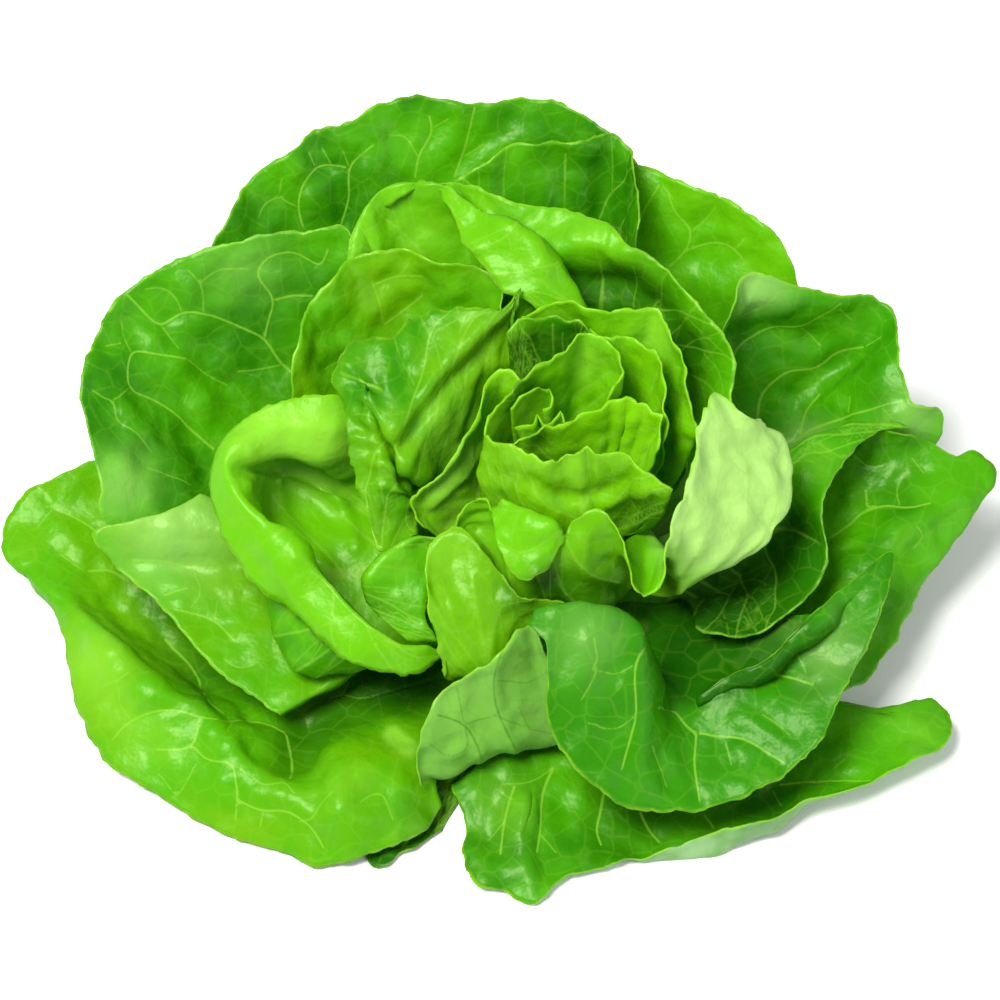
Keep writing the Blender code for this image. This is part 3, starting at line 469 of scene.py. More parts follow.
# The leaves from the outside in.
LEAVES = [
    Leaf("outer_leaf_under", root=(243, 259), foot=3, rim=[
        (-40, -94, 0.6), (-37.5, -99, 0.6), (-36.3, -102, 0.6), (-32, -102.8, 0.6), (-28.5, -99.8, 0.6),
        (-24, -98.2, 0.6), (-20.5, -95.5, 0.6), (-17, -93, 0.6), (-15.5, -88, 0.6),
    ]),
    Leaf("outer_leaf_front", root=(267, 307), foot=7, belly=(0.5, 3, 0), rows=(2, 3, 2), rings=[[
        (-10, -78, 7), (-5, -88, 5), (-4, -95, 4), (0, -102, 3), (5, -104, 2.5), (10, -106, 2),
        (16, -101, 3), (27, -100.5, 2), (40, -101, 1), (50, -101.2, 1), (59, -100, 1.2), (67, -97, 2),
        (76, -93.7, 3), (86, -87, 5), (98, -79, 6), (110, -72, 7), (118, -68, 7), (119, -63, 7),
        (114, -60, 7), (104, -62, 6.5), (90, -62, 6.5),
    ]], rim=[
        (-13, -80, 6), (-9.5, -93, 3), (-10, -99, 2), (-7, -107.5, 1.5), (2, -110.5, 0.6),
        (10, -113.5, 0.6), (17, -106.5, 2.5), (28, -103.7, 2), (40, -100.3, 3), (50, -97.3, 6),
        (60, -94, 8), (70, -91.8, 9), (80, -89, 9.5), (92, -83.5, 10), (104, -79, 9.5), (116, -74, 9),
        (124, -69, 8.5), (126.5, -62, 8), (122, -56, 8), (108, -58.5, 7), (92, -57, 7),
    ]),
    Leaf("outer_leaf_front_left", root=(190, 230), foot=8, rows=(2, 2, 2, 2), rings=[[
        (-95, 2, 20), (-98, -3, 18), (-101, -9, 16), (-104, -15, 14), (-107, -22, 12), (-109, -29, 9),
        (-106, -35, 7), (-100, -42, 6.5), (-93, -48, 6.5), (-86, -52, 6.5), (-79, -56, 6.5),
        (-73, -61, 6.5), (-64, -66, 6.5), (-55, -68, 6.5), (-46, -66, 7), (-36, -63, 7), (-25, -61, 7),
        (-12, -60, 7),
    ], [
        (-103, 5, 22), (-107, 2, 20), (-111, -3, 18.5), (-115, -10, 17), (-119, -18, 15), (-121, -25, 15),
        (-117, -32, 16), (-110, -39, 17), (-103, -46, 17.5), (-95, -53, 17.5), (-85, -58, 16.5),
        (-78, -66, 15), (-69, -75, 13), (-59, -81, 12), (-48, -81, 14), (-38, -77, 15), (-27, -75, 13),
        (-18, -74, 10),
    ]], rim=[
        (-107, 10, 27), (-115, 11, 27), (-123, 7, 25), (-131, 3, 22), (-138, -6, 18), (-139, -14, 15),
        (-130, -23.5, 13), (-122, -35, 12), (-120, -47, 10), (-117.5, -59, 7), (-110, -73, 4),
        (-98, -81, 2), (-82, -91, 0.7), (-65, -97, 0.6), (-49, -102.3, 0.8), (-34, -98, 3.5),
        (-22, -93, 4.5), (-17, -86, 5),
    ]),
    Leaf("outer_leaf_back_left", root=(131, 91), foot=7, belly=(0.55, -20, 8), rows=(2, 4), rim=[
        (-84, 56, 50), (-82, 70, 61), (-76, 80, 66), (-70, 90, 70), (-59, 97.5, 75), (-52, 103.5, 78),
        (-42, 106, 82), (-33, 111, 84), (-24, 113.4, 85), (-14, 112, 84), (-4, 111, 82), (6, 112.8, 83),
        (15, 112, 82), (24, 108, 80), (32, 102, 78), (40, 92, 73),
    ]),
    Leaf("outer_leaf_back_right", root=(75, 35), foot=8, belly=(0.55, -18, 7), rim=[
        (33, 90, 70), (38, 94, 74), (46, 91.5, 74), (54, 88.7, 74), (62, 85.5, 73), (70, 80.3, 72),
        (77, 75.3, 69), (81, 68.5, 64), (83.5, 60, 56), (84, 50, 48),
    ]),
    Leaf("outer_leaf_right_back", root=(48, 8), foot=11, belly=(0.55, -16, 6), rim=[
        (61, 38, 62), (62.5, 50, 67), (65, 60, 70), (71, 64.5, 70), (80, 61.8, 67), (91, 59.3, 63),
        (103, 57.5, 60), (109, 54.5, 58), (112, 45, 56), (112.8, 36, 53), (116, 27, 49), (123, 26, 47),
        (124, 20, 41), (119, 12, 33), (111, 6, 27),
    ]),
    Leaf("outer_leaf_right", root=(6, -34), foot=14, belly=(0.55, -5, 0), rows=(2, 2, 2), rings=[[
        (98, 12, 33), (103, 10, 33), (109, 8, 33), (115, 5, 33), (119, 1, 33), (120, -4, 32), (116, -9, 30),
        (111, -15, 28), (107, -21, 26), (103, -28, 24.5), (99, -35, 23), (94, -42, 21.5), (86, -46, 20),
    ]], rim=[
        (104, 22, 45), (111, 20, 43.5), (119, 17, 39), (127, 12.5, 36), (131, 13.5, 35), (139, 7.5, 31),
        (134, -1, 28), (127, -11, 24), (120, -20, 21), (114.5, -31, 19), (109, -41, 18), (102, -51, 17),
        (93, -55, 17),
    ]),
    Leaf("outer_leaf_left", root=(138, 178), foot=11, belly=(0.55, -16, 6), rows=(2, 4), rim=[
        (-38, 68, 70), (-43, 77, 74), (-54, 75.7, 73), (-66, 74.6, 72), (-78, 71.4, 70), (-90, 67.5, 67),
        (-100, 62, 63), (-108, 55.5, 60), (-113.5, 46, 56), (-117.5, 34, 52), (-117.5, 25, 48),
        (-115, 15, 44), (-113, 4, 37), (-112, -6, 30), (-105, -11, 25),
    ]),
    Leaf("outer_leaf_lower_left", root=(176, 216), foot=15.5, belly=(0.45, 2, 0), rim=[
        (-84, 1, 37), (-93, -3.3, 37), (-104, -6, 37), (-114, -9, 35), (-108.5, -17.5, 28), (-99, -26, 25),
        (-92, -34, 22), (-85, -42, 20), (-77, -50, 18), (-69, -55.5, 16), (-62, -60, 14.5), (-64, -54, 14),
        (-67.5, -46, 14), (-69.5, -39, 15), (-70, -32, 16), (-71.5, -25, 18),
    ]),
    Leaf("back_leaf", root=(107, 67), foot=13, belly=(0.55, -20, 8), rim=[
        (-20, 78, 72), (-12, 90, 79), (-4, 95, 83), (4, 99.8, 86), (13, 100.3, 86), (22, 101, 86),
        (31, 102.7, 86), (35.5, 99, 85), (37.8, 89, 82), (39, 76, 77),
    ]),
    Leaf("front_left_leaf", root=(238, 272), foot=13, belly=(0.4, -2, 0), rows=(2, 2, 3), steps=2, rings=[[
        (-20, -79, 9), (-18, -79.5, 9), (-14, -79, 10), (-9, -77.5, 11), (-4, -75, 12), (2, -72.5, 13),
        (8, -71, 14), (14, -70, 15), (18, -68, 16),
    ]], rim=[
        (-20.5, -80.5, 13), (-22.3, -74, 20), (-21, -65, 28), (-18, -57, 34), (-11, -50, 39),
        (-3, -44.5, 43), (3, -38.7, 46), (8, -35.3, 46.5), (11.5, -41, 43),
    ]),
    Leaf("front_leaf", root=(283, 321), foot=16, rows=(1, 2, 3, 4), rings=[[
        (6, -46, 26), (10, -46, 26), (15, -46, 26), (20, -46, 26), (26, -46, 25), (32, -47, 24),
        (37, -49, 22), (38, -46, 19), (42, -46, 18), (46, -44, 18), (50, -41, 19), (53, -38, 20),
        (56, -35, 21), (58, -32, 22), (60, -30, 22), (60, -32, 21), (58, -36, 20), (55, -40, 18.5),
        (51, -44, 17.5), (48, -47, 17),
    ], [
        (10, -31.5, 51), (14, -30.5, 53), (19, -30, 53), (25, -30.5, 52), (31, -32, 51), (36.5, -35.5, 48),
        (41, -43, 43), (46, -58, 24), (53, -62, 20), (62, -62, 21), (70, -58, 23), (77, -51, 25),
        (84, -44, 28), (90, -37, 31), (94, -31, 34), (90, -33, 34), (80, -41, 31), (69, -49, 27),
        (60, -53, 24), (54, -57, 21),
    ]], rim=[
        (8, -35.2, 50), (12.5, -39, 49), (13, -48, 44), (12.5, -58, 36), (16, -68, 29), (24, -78, 22),
        (36, -86, 17), (50, -87.5, 15), (64, -85, 15), (78, -78.5, 18), (90, -67.5, 23), (97, -52.5, 29),
        (104.5, -38, 34), (109, -25, 38), (110, -14.5, 42), (98, -23, 39), (84, -34, 35.5),
        (72, -44.5, 31.5), (62, -50, 27), (56, -55, 23),
    ]),
    Leaf("back_wrapper", root=(90, 50), foot=20, belly=(0.55, -10, 12), rows=(2, 3, 2), steps=2, rings=[[
        (-29, 73, 69), (-19, 78, 74), (-10, 77, 77), (-2, 73, 78), (5, 70, 78), (14, 68.5, 79.5),
        (24, 66, 79.5), (31, 64, 79), (36, 60, 77.5), (42, 55, 76), (48, 48, 73), (52, 42, 70),
        (55, 36, 66), (56, 29, 62), (55, 20, 57),
    ]], rim=[
        (-30, 78, 73), (-19, 88.3, 82), (-10, 88.8, 87), (-2, 86, 89), (5, 83.3, 89), (14, 82.6, 90),
        (24, 79.8, 90), (32, 77.3, 90), (38, 71.5, 89), (46, 66, 88), (54, 57.5, 85), (60, 50, 82),
        (65, 43, 78), (65.5, 34, 73), (63, 24, 67),
    ]),
    Leaf("back_left_wrapper", root=(142, 107), foot=19, belly=(0.5, -12, 6), rows=(2, 3, 2), rings=[[
        (-41, 66, 75), (-40, 75, 80.5), (-38, 81, 85), (-34, 86, 87.5), (-28, 88.6, 88.5),
        (-22, 89.2, 88.5), (-17, 88.9, 88), (-12, 85.5, 88), (-6, 81.5, 88), (0, 76, 88), (5, 69.5, 86.5),
        (8, 63, 84), (7, 56, 80),
    ]], rim=[
        (-43, 65, 74), (-41, 73, 79), (-37.5, 79.3, 82.5), (-32, 82, 84), (-27, 85, 86), (-23, 87.4, 87.8),
        (-19, 87.6, 88.8), (-15.5, 83, 88.5), (-13, 78, 87.5), (-11, 72, 86), (-8, 69, 85), (-4, 65, 83.5),
        (1, 58, 80),
    ]),
    Leaf("left_wrapper", root=(166, 126), foot=24, belly=(0.5, -12, 6), steps=2, rim=[
        (-58, 24, 56), (-59.8, 34, 64), (-58, 44, 70), (-54, 55, 74), (-48, 62, 77), (-42, 67.5, 79),
        (-34, 70.2, 80), (-24, 70, 81), (-15, 67.3, 81), (-6, 65.3, 80), (0, 60, 78), (3, 51, 73),
    ]),
    Leaf("right_leaf", root=(0, -40), foot=19, belly=(0.55, -6, 3), rows=(2, 3, 2), steps=2, rings=[[
        (108, 21.2, 45), (98, 21, 47), (90, 19, 48), (84, 14, 46), (82, 5, 42), (82, -4, 36), (80, -12, 31),
        (76, -20, 25), (71, -26, 22), (66, -29, 21), (60, -30, 21), (52, -29, 22),
    ]], rim=[
        (115, 19.8, 44), (106, 19.3, 46), (100, 15, 47), (95, 8.5, 46), (91.3, 0, 44), (91.5, -9, 41),
        (92, -17, 38), (88.5, -26, 34), (82, -33.5, 31), (74, -38, 29), (65, -40.3, 28), (55, -37, 28),
    ]),
    Leaf("left_cup_leaf", root=(177, 217), foot=23, belly=(0.5, -2, 0), rows=(1, 2, 3, 2), rings=[[
        (-34, 6, 40), (-40, 8, 42), (-48, 10, 43), (-56, 11, 43), (-62, 9, 40), (-67, 4, 35), (-71, -7, 27),
        (-71, -16, 26), (-70, -25, 25), (-67, -34, 24), (-63, -42, 23), (-56, -49, 22), (-47, -48.5, 22),
        (-37, -47, 22), (-22, -43, 26),
    ], [
        (-41, 20, 60), (-46, 20, 62), (-53, 20, 63), (-61, 20, 63), (-69, 17, 62), (-76.5, 10.5, 61),
        (-75.5, 3, 59), (-71, -3.5, 56), (-64, -8.5, 54), (-57, -14.5, 51), (-50, -21, 49),
        (-42, -29.5, 46), (-34, -37, 43), (-27, -41, 40), (-20, -41, 38),
    ]], rim=[
        (-42, 28, 66), (-47, 29.5, 68), (-55, 29.3, 68), (-63, 27, 67), (-71, 22.5, 64), (-78.5, 15, 60),
        (-81.3, 5, 55), (-79, -5, 50), (-75, -15, 45), (-68, -24, 41), (-58, -30, 38), (-46, -40.5, 35),
        (-33, -47.5, 33), (-22, -48, 33), (-15.5, -42.5, 35),
    ]),
    Leaf("front_left_curl_leaf", root=(222, 262), foot=24,
         belly=(0.5, -2, 0), rows=(2, 3, 2), steps=2, rings=[[
        (-27, -40, 36), (-33, -34.5, 40), (-37.5, -28, 44), (-37, -21, 49), (-30.5, -14, 53),
        (-22.5, -10.3, 55), (-15, -12, 53), (-8, -18, 49),
    ]], rim=[
        (-17.5, -41, 36), (-20, -36, 40), (-20.5, -30, 43), (-19, -23, 46), (-16, -17, 48.5),
        (-12, -14, 50), (-8, -16, 49), (-5, -21, 46),
    ]),
    Leaf("front_curled_leaf", root=(240, 273), foot=27.5,
         belly=(0.5, -3, 0), rows=(2, 2, 3), steps=2, rings=[[
        (-13, -51, 31), (-13, -50, 32), (-12, -49.5, 33), (-10.5, -49, 34), (-8.5, -48.5, 35),
        (-6.5, -47.5, 36), (-4, -46.5, 36.5), (-1.5, -45, 37), (1.5, -42.5, 37.5), (4.5, -39.5, 38),
        (8, -37, 38.5), (13, -35, 39), (21, -33.5, 39),
    ]], rim=[
        (-15.5, -41.5, 41), (-18.3, -37, 45), (-20, -31, 49.5), (-20.3, -23, 54), (-19.5, -14, 58.5),
        (-16, -8.3, 61), (-11, -7.5, 61), (-6, -12.3, 59), (-1.2, -19.3, 55), (3, -24.3, 52),
        (9, -27.3, 49), (17, -28.7, 47), (25, -30.3, 45.5),
    ]),
    Leaf("front_right_wavy_leaf", root=(278, 315), foot=28.5,
         belly=(0.5, -2, 0), rows=(1, 2, 2, 3), rings=[[
        (-11, -17, 44), (-9, -18, 44), (-6, -20, 43), (-3, -23, 42), (0, -26, 42), (3, -28, 42),
        (7, -29, 42), (11, -30, 42), (16, -31, 42), (20, -31, 42), (25, -31, 42), (30, -30, 42),
        (34, -27, 42), (37, -19, 41), (40, -16, 40), (44, -19, 41), (48, -26, 43), (52, -25, 44),
        (58, -21, 44), (65, -17, 46), (71, -11, 48), (75, -3, 50), (75, 4, 53),
    ], [
        (-11.5, -12, 50), (-9.5, -10, 52), (-7, -9, 53), (-3, -7, 57), (0, -1, 67), (3, -1.3, 69),
        (8, -3.3, 70), (13, -5.7, 69.5), (18, -12, 64), (21.5, -16.5, 60), (25.5, -18, 58),
        (30, -17.5, 57.5), (34, -16.5, 57), (37, -12, 53), (40.5, -8, 50), (44.5, -12, 53), (48, -18, 55),
        (54, -18.5, 54), (63, -15, 53), (72, -8, 54), (79, 0, 57), (81.3, 9, 60), (80, 17, 63),
    ]], rim=[
        (-12, -9, 56), (-11, -4, 60), (-8, 0.3, 63), (-3.5, 1, 66), (-2, -6, 66), (1, -17, 61),
        (7, -22.5, 58), (12.5, -20, 60), (18, -9.5, 66), (22, -5, 70), (26.5, -2.8, 72), (31, -7, 70),
        (35.5, -15, 66), (35.5, -23, 61), (40, -28, 57), (45.5, -23, 60), (46.5, -13, 66), (51, -1, 72),
        (54.5, 10, 78), (56, 20, 82), (60.5, 29.8, 84), (66, 25.5, 80), (72, 22.5, 75),
    ]),
    Leaf("left_inner_leaf", root=(184, 144), foot=29, belly=(0.5, -6, 2), rows=(2, 3, 2), rings=[[
        (-22, -5, 46), (-27, -2, 50), (-31, 1, 53), (-33, 6, 57), (-34.5, 15, 62), (-36, 25, 69),
        (-38, 33, 74), (-36, 28, 72), (-31, 21, 69), (-25, 27, 71), (-18, 35, 74), (-10, 43, 77),
        (-4, 47.5, 79), (0, 51, 80), (3, 54, 81), (4, 50, 79),
    ]], rim=[
        (-23, -9, 46), (-34, -14, 46), (-37, -6, 50), (-39.5, 2, 54), (-41.5, 12, 59), (-43, 24, 66),
        (-46.5, 36, 73), (-41, 43.5, 77), (-33, 45.5, 79), (-27, 49, 80), (-21, 53, 81), (-11, 53.5, 82),
        (-3, 53.3, 83), (2, 56, 83), (5, 58.5, 83), (4.5, 54, 81),
    ]),
    Leaf("pale_rib_leaf", root=(195, 155), foot=34, belly=(0.55, -4, 5), steps=2, rim=[
        (-22, -8, 47), (-26, -1, 52), (-21, 5, 57), (-16, 10, 62), (-12, 16, 67), (-8, 24, 72),
        (-4, 32, 76), (0, 36.5, 78), (5, 33.5, 78), (3, 29, 75),
    ]),
    Leaf("right_inner_leaf", root=(78, 38), foot=32, belly=(0.5, -8, 6), steps=2, rim=[
        (3, 48, 79), (6, 51.5, 82), (11, 53.5, 84), (16, 56, 85), (21, 56.7, 86), (28, 54, 86),
        (36, 53.2, 86), (43, 53.4, 86), (48, 47.5, 85), (51.5, 42, 84), (51.8, 32, 81), (53, 25, 78),
        (56, 19, 73),
    ]),
    Leaf("heart_leaf_far", root=(112, 76), foot=36, belly=(0.5, -6, 5), rows=(2, 2), steps=2, rim=[
        (1, 46, 78), (4.5, 50, 81), (9, 50.5, 82.5), (14, 51.5, 83.5), (18, 51, 83.5), (22, 50.3, 83.5),
        (25, 48.5, 83), (28, 45, 81),
    ]),
    Leaf("heart_leaf_right", root=(50, 10), foot=36, belly=(0.5, -6, 4), rows=(2, 2), steps=2, rim=[
        (26, 47, 82), (28.5, 46, 83.5), (31.5, 45.3, 84), (35, 46.4, 84.5), (39, 45, 84.3), (42, 42.5, 84),
        (44, 39.7, 83.5), (45, 35.5, 82.5), (46.2, 30.5, 81), (46.2, 26, 79.5), (47, 22, 77.5),
        (47, 17, 74),
    ]),
    Leaf("heart_leaf_front", root=(244, 290), foot=36, belly=(0.55, -4, 8), rim=[
        (-5, 17, 76), (-3, 16.3, 77), (0, 15.5, 78), (2.5, 14.5, 79), (5, 13.8, 79), (8, 12.7, 80),
        (9.5, 12.5, 80), (11, 11.2, 80), (13, 10.8, 80), (16, 10.9, 80), (17.5, 12, 80.5), (19, 13.2, 80.5),
        (21.5, 13.3, 81), (23, 14, 81.5), (24, 15.6, 82), (25.5, 14.1, 81.5), (29, 14, 81),
        (31.5, 13.7, 81), (34, 13.6, 81), (37, 12, 80), (38.5, 9.8, 79), (40.5, 8.2, 78.5), (43, 7, 77.5),
        (46, 4.8, 76.5), (48.5, 3, 75),
    ]),
    Leaf("heart_leaf_back", root=(132, 88), foot=40, belly=(0.5, -6, 3), rows=(2, 2), rim=[
        (-4.5, 18, 76), (-3, 22, 78), (0, 27, 79.5), (3, 30.5, 81), (6, 33.5, 82), (9, 36, 83),
        (12, 38, 83.5), (15, 40.3, 84.5), (18.3, 42, 85), (19.5, 44, 85.5), (22, 46.6, 86),
        (25, 47.2, 86.3), (27, 46.1, 86), (30.5, 45, 85.5), (33.2, 42, 85), (34.5, 38, 84),
        (34.8, 35.5, 83.5), (33.2, 33, 83), (31.2, 30, 82), (30.3, 28, 80.5),
    ]),
    Leaf("heart_leaf_small", root=(160, 100), foot=44, belly=(0.5, -3, 2), rows=(2, 2), steps=2, rim=[
        (2, 24, 73.5), (4.5, 28, 75.5), (7, 30, 76.5), (10, 31.5, 77), (12.5, 31.4, 77), (14.3, 31.7, 77),
        (14.8, 29, 76), (14, 26, 74.5), (12, 25.3, 73),
    ]),
    Leaf("heart_leaf_tip", root=(92, 48), foot=47, belly=(0.5, 0, 1), rows=(2, 2), steps=2, rim=[
        (4, 20, 70.5), (7, 20.6, 71.5), (9.3, 20.6, 72), (10.2, 24.6, 74), (12, 20.8, 72.5),
        (14.5, 21.8, 73), (17, 25, 75), (18, 21.5, 73),
    ]),
    Leaf("heart_leaf_middle", root=(250, 300), foot=42, belly=(0.5, -3, 4), rows=(2, 2), rim=[
        (1, 15, 76.5), (3, 16, 77.5), (5, 18, 79), (8.5, 18.3, 79.3), (11, 20.2, 80), (13, 21.2, 80.5),
        (16, 20.8, 80.5), (19, 21.4, 81), (22, 23.6, 82), (26, 26, 83), (29, 27, 83), (31, 28.2, 83.3),
        (35, 27.9, 83), (36.5, 28.6, 83), (38, 27.5, 83), (41, 27.5, 82.5), (43.5, 25.5, 81.5),
        (46, 24.3, 81), (45.3, 20, 78.5), (44.5, 14, 75),
    ]),
]


class Look:
    """Colours of a leaf, and how strongly the traits of all leaves show in it.

    Deep and light mottle the inner face, under is the under side, and pale is the colour of its lighter
    places, mostly painted light and in a few places the leaf's own paler colour. Swell is the tissue between
    veins, ruffle the rim's waves, lumps the uneven face, teeth the cut rim, marks the veins grown by rule
    and glow the light that comes through.
    """

    def __init__(
        self, deep, light, under=UNDER_GREEN, vein=VEIN_GREEN, pale=LIGHT_GREEN,
        swell=0.9, ruffle=1.0, lumps=1.0, teeth=0.8, marks=0.45, glow=0.3,
    ):
        self.deep = deep
        self.light = light
        self.under = under
        self.vein = vein
        self.pale = pale
        self.swell = swell
        self.ruffle = ruffle
        self.lumps = lumps
        self.teeth = teeth
        self.marks = marks
        self.glow = glow


def heart_look(under=YELLOW_GREEN, **changes):
    """The look of the yellow leaves near the heart, with what differs for one of them."""
    return Look(BRIGHT_GREEN, YELLOW_GREEN, under=under, **changes)


OUTER_LOOK = Look(DARK_GREEN, FRESH_GREEN)
LOOKS = {
    # This leaf lies in the shade under the head, and its colours are painted shade.
    "outer_leaf_under": Look(PAINTED_SHADE_GREEN, DEEP_GREEN, PAINTED_SHADE_GREEN),
    "outer_leaf_front": Look(DARK_GREEN, FRESH_GREEN, LIP_GREEN, swell=1.0),
    "outer_leaf_front_left": Look(FRESH_GREEN, SPRING_GREEN, swell=1.0),
    "outer_leaf_right_back": Look(DEEP_GREEN, FRESH_GREEN, pale=PALE_GREEN, swell=0.7),
    "outer_leaf_back_right": Look(FRESH_GREEN, BRIGHT_GREEN, swell=0.8),
    "outer_leaf_left": Look(DARK_GREEN, FRESH_GREEN, pale=PALE_GREEN),
    "outer_leaf_lower_left": Look(FRESH_GREEN, SPRING_GREEN, pale=PALE_GREEN, swell=0.7),
    # Its veins are painted dark, as the shade in their grooves.
    "front_left_leaf": Look(FRESH_GREEN, UNDER_GREEN, vein=GROOVE_SHADE_GREEN, swell=1.3, lumps=1.8),
    "front_leaf": Look(DARK_GREEN, DEEP_GREEN, pale=PALE_GREEN),
    "back_wrapper": Look(FRESH_GREEN, BRIGHT_GREEN, lumps=1.5),
    "back_left_wrapper": Look(FRESH_GREEN, BRIGHT_GREEN, BRIGHT_GREEN),
    "left_wrapper": Look(FRESH_GREEN, SPRING_GREEN, swell=1.2, lumps=1.7),
    "right_leaf": Look(DEEP_GREEN, FRESH_GREEN, FRESH_GREEN),
    "left_cup_leaf": Look(
        BRIGHT_GREEN, BRIGHT_GREEN, DEEP_GREEN, swell=0.3, ruffle=0.2, teeth=1.3, lumps=0.3,
    ),
    "front_curled_leaf": Look(
        BRIGHT_GREEN, SPRING_GREEN, SPRING_GREEN, teeth=1.2, marks=0.2, lumps=1.5,
    ),
    "front_right_wavy_leaf": Look(
        BRIGHT_GREEN, BRIGHT_GREEN, SPRING_GREEN, pale=PALE_GREEN,
        swell=1.3, teeth=1.4, marks=0.25, lumps=1.4,
    ),
    "left_inner_leaf": Look(DEEP_GREEN, SPRING_GREEN, FRESH_GREEN, teeth=1.4, lumps=1.7),
    "front_left_curl_leaf": Look(FRESH_GREEN, BRIGHT_GREEN, BRIGHT_GREEN),
    "pale_rib_leaf": heart_look(pale=PALE_GREEN, teeth=1.2, marks=0.8),
    "right_inner_leaf": heart_look(teeth=1.2),
    "heart_leaf_far": Look(FRESH_GREEN, BRIGHT_GREEN, BRIGHT_GREEN, swell=0.5, teeth=1.4),
    "heart_leaf_tip": heart_look(swell=0.3, ruffle=0.5),
    "heart_leaf_right": heart_look(swell=0.5, teeth=1.6),
    "heart_leaf_front": heart_look(SPRING_GREEN, swell=0.5, ruffle=1.4, teeth=2.0),
    "heart_leaf_back": heart_look(swell=0.5, teeth=1.6),
    "heart_leaf_middle": heart_look(swell=0.5, ruffle=1.2, teeth=2.0),
    "heart_leaf_small": heart_look(swell=0.4, teeth=1.2),
}


def seen(across, up, height):
    """The point at this height that the view shows at this place of the drawing."""
    middle = np.array([0.0, 0.0, PLANE_HEIGHT])
    eye = middle + VIEW_DISTANCE * TOWARD_EYE
    target = middle + np.array([across, 0.0, 0.0]) + up * DRAWN_UP
    share = (height - eye[2]) / (target[2] - eye[2])
    return eye + share * (target - eye) - STEM_PLACE


def drawn_place(points):
    """Where the view shows these points: across and up in the drawing, and how near they are to the eye."""
    from_middle = points + STEM_PLACE - np.array([0.0, 0.0, PLANE_HEIGHT])
    near = from_middle @ TOWARD_EYE
    share = VIEW_DISTANCE / (VIEW_DISTANCE - near)
    return from_middle[..., 0] * share, (from_middle @ DRAWN_UP) * share, near


def spline(knots, points, where):
    """Smooth curve through points (knot axis first), read at the places in where."""
    knots = np.asarray(knots, float)
    points = np.asarray(points, float)
    slope = np.gradient(points, knots, axis=0)
    cell = np.clip(np.searchsorted(knots, where, side="right") - 1, 0, len(knots) - 2)
    width = knots[cell + 1] - knots[cell]
    t = (where - knots[cell]) / width
    shape = (-1,) + (1,) * (points.ndim - 1)
    t = t.reshape(shape)
    width = width.reshape(shape)
    a = points[cell] * (2 * t**3 - 3 * t**2 + 1) + points[cell + 1] * (3 * t**2 - 2 * t**3)
    b = slope[cell] * (t**3 - 2 * t**2 + t) + slope[cell + 1] * (t**3 - t**2)
    return a + width * b


def step_lengths(points):
    """Distances between neighbouring points."""
    return np.linalg.norm(np.diff(points, axis=0), axis=-1)


def reached(steps):
    """How much of the way is behind each point, from 0 to 1, for steps of these lengths."""
    return np.concatenate([[0.0], np.cumsum(steps)]) / steps.sum()


def between(knots, counts):
    """Even places between each two knots, as many as counts says, and the last knot, which is 1."""
    parts = [
        np.linspace(knots[i], knots[i + 1], count, endpoint=False) for i, count in enumerate(counts)
    ]
    return np.concatenate(parts + [[1.0]])


def control_rings(leaf):
    """Root arc, belly, drawn rings and rim as rows of points in millimetres."""
    rim = np.array([seen(*place) for place in leaf.rim])
    drawn = [np.array([seen(*place) for place in ring]) for ring in leaf.rings]
    share = reached(step_lengths(rim))
    angle = np.radians(leaf.root[0] + (leaf.root[1] - leaf.root[0]) * share)
    radius = ROOT_RADIUS - ROOT_TAPER * leaf.foot
    height = np.full(len(angle), float(leaf.foot))
    root = np.stack([radius * np.cos(angle), radius * np.sin(angle), height], axis=1)
    outer = drawn[0] if drawn else rim
    part, lift, bulge = leaf.belly
    belly = root + part * (outer - root)
    outward = outer * [1, 1, 0]
    outward /= np.linalg.norm(outward, axis=1, keepdims=True)
    belly += outward * bulge
    belly[:, 2] += lift
    return [root, belly] + drawn + [rim]


def leaf_grid(leaf):
    """Rows of points from root to rim that follow the leaf's middle surface."""
    rings = control_rings(leaf)
    knots = reached(step_lengths(rings[-1]))
    where = between(knots, [leaf.steps] * (len(knots) - 1))
    rings = np.array([spline(knots, ring, where) for ring in rings])
    levels = reached(step_lengths(rings).mean(axis=1))
    grid = spline(levels, rings, between(levels, leaf.rows))
    grid[..., 2] = np.maximum(grid[..., 2], TABLE_GAP)
    return grid


def cell_samples(grid):
    """Points over the grid's cells, and the cell corner each belongs to."""
    steps = np.linspace(0, 1, RAYS_PER_CELL, endpoint=False)
    rows = np.arange(grid.shape[0] - 1)
    columns = np.arange(grid.shape[1] - 1)
    points = []
    owners = []
    for down in steps:
        for along in steps:
            low = grid[:-1] * (1 - down) + grid[1:] * down
            points.append((low[:, :-1] * (1 - along) + low[:, 1:] * along).reshape(-1, 3))
            owners.append(np.stack(np.meshgrid(rows, columns, indexing="ij"), axis=-1).reshape(-1, 2))
    return np.concatenate(points), np.concatenate(owners)


def spread_out(need):
    """The need of each point, shared smoothly with the points around it."""
    field = need.copy()
    for _ in range(SPREAD_ROUNDS):
        padded = np.pad(field, 1, mode="edge")
        around = padded[:-2, 1:-1] + padded[2:, 1:-1] + padded[1:-1, :-2] + padded[1:-1, 2:]
        field = np.maximum(need, (around + 2 * field) / 6)
    return field


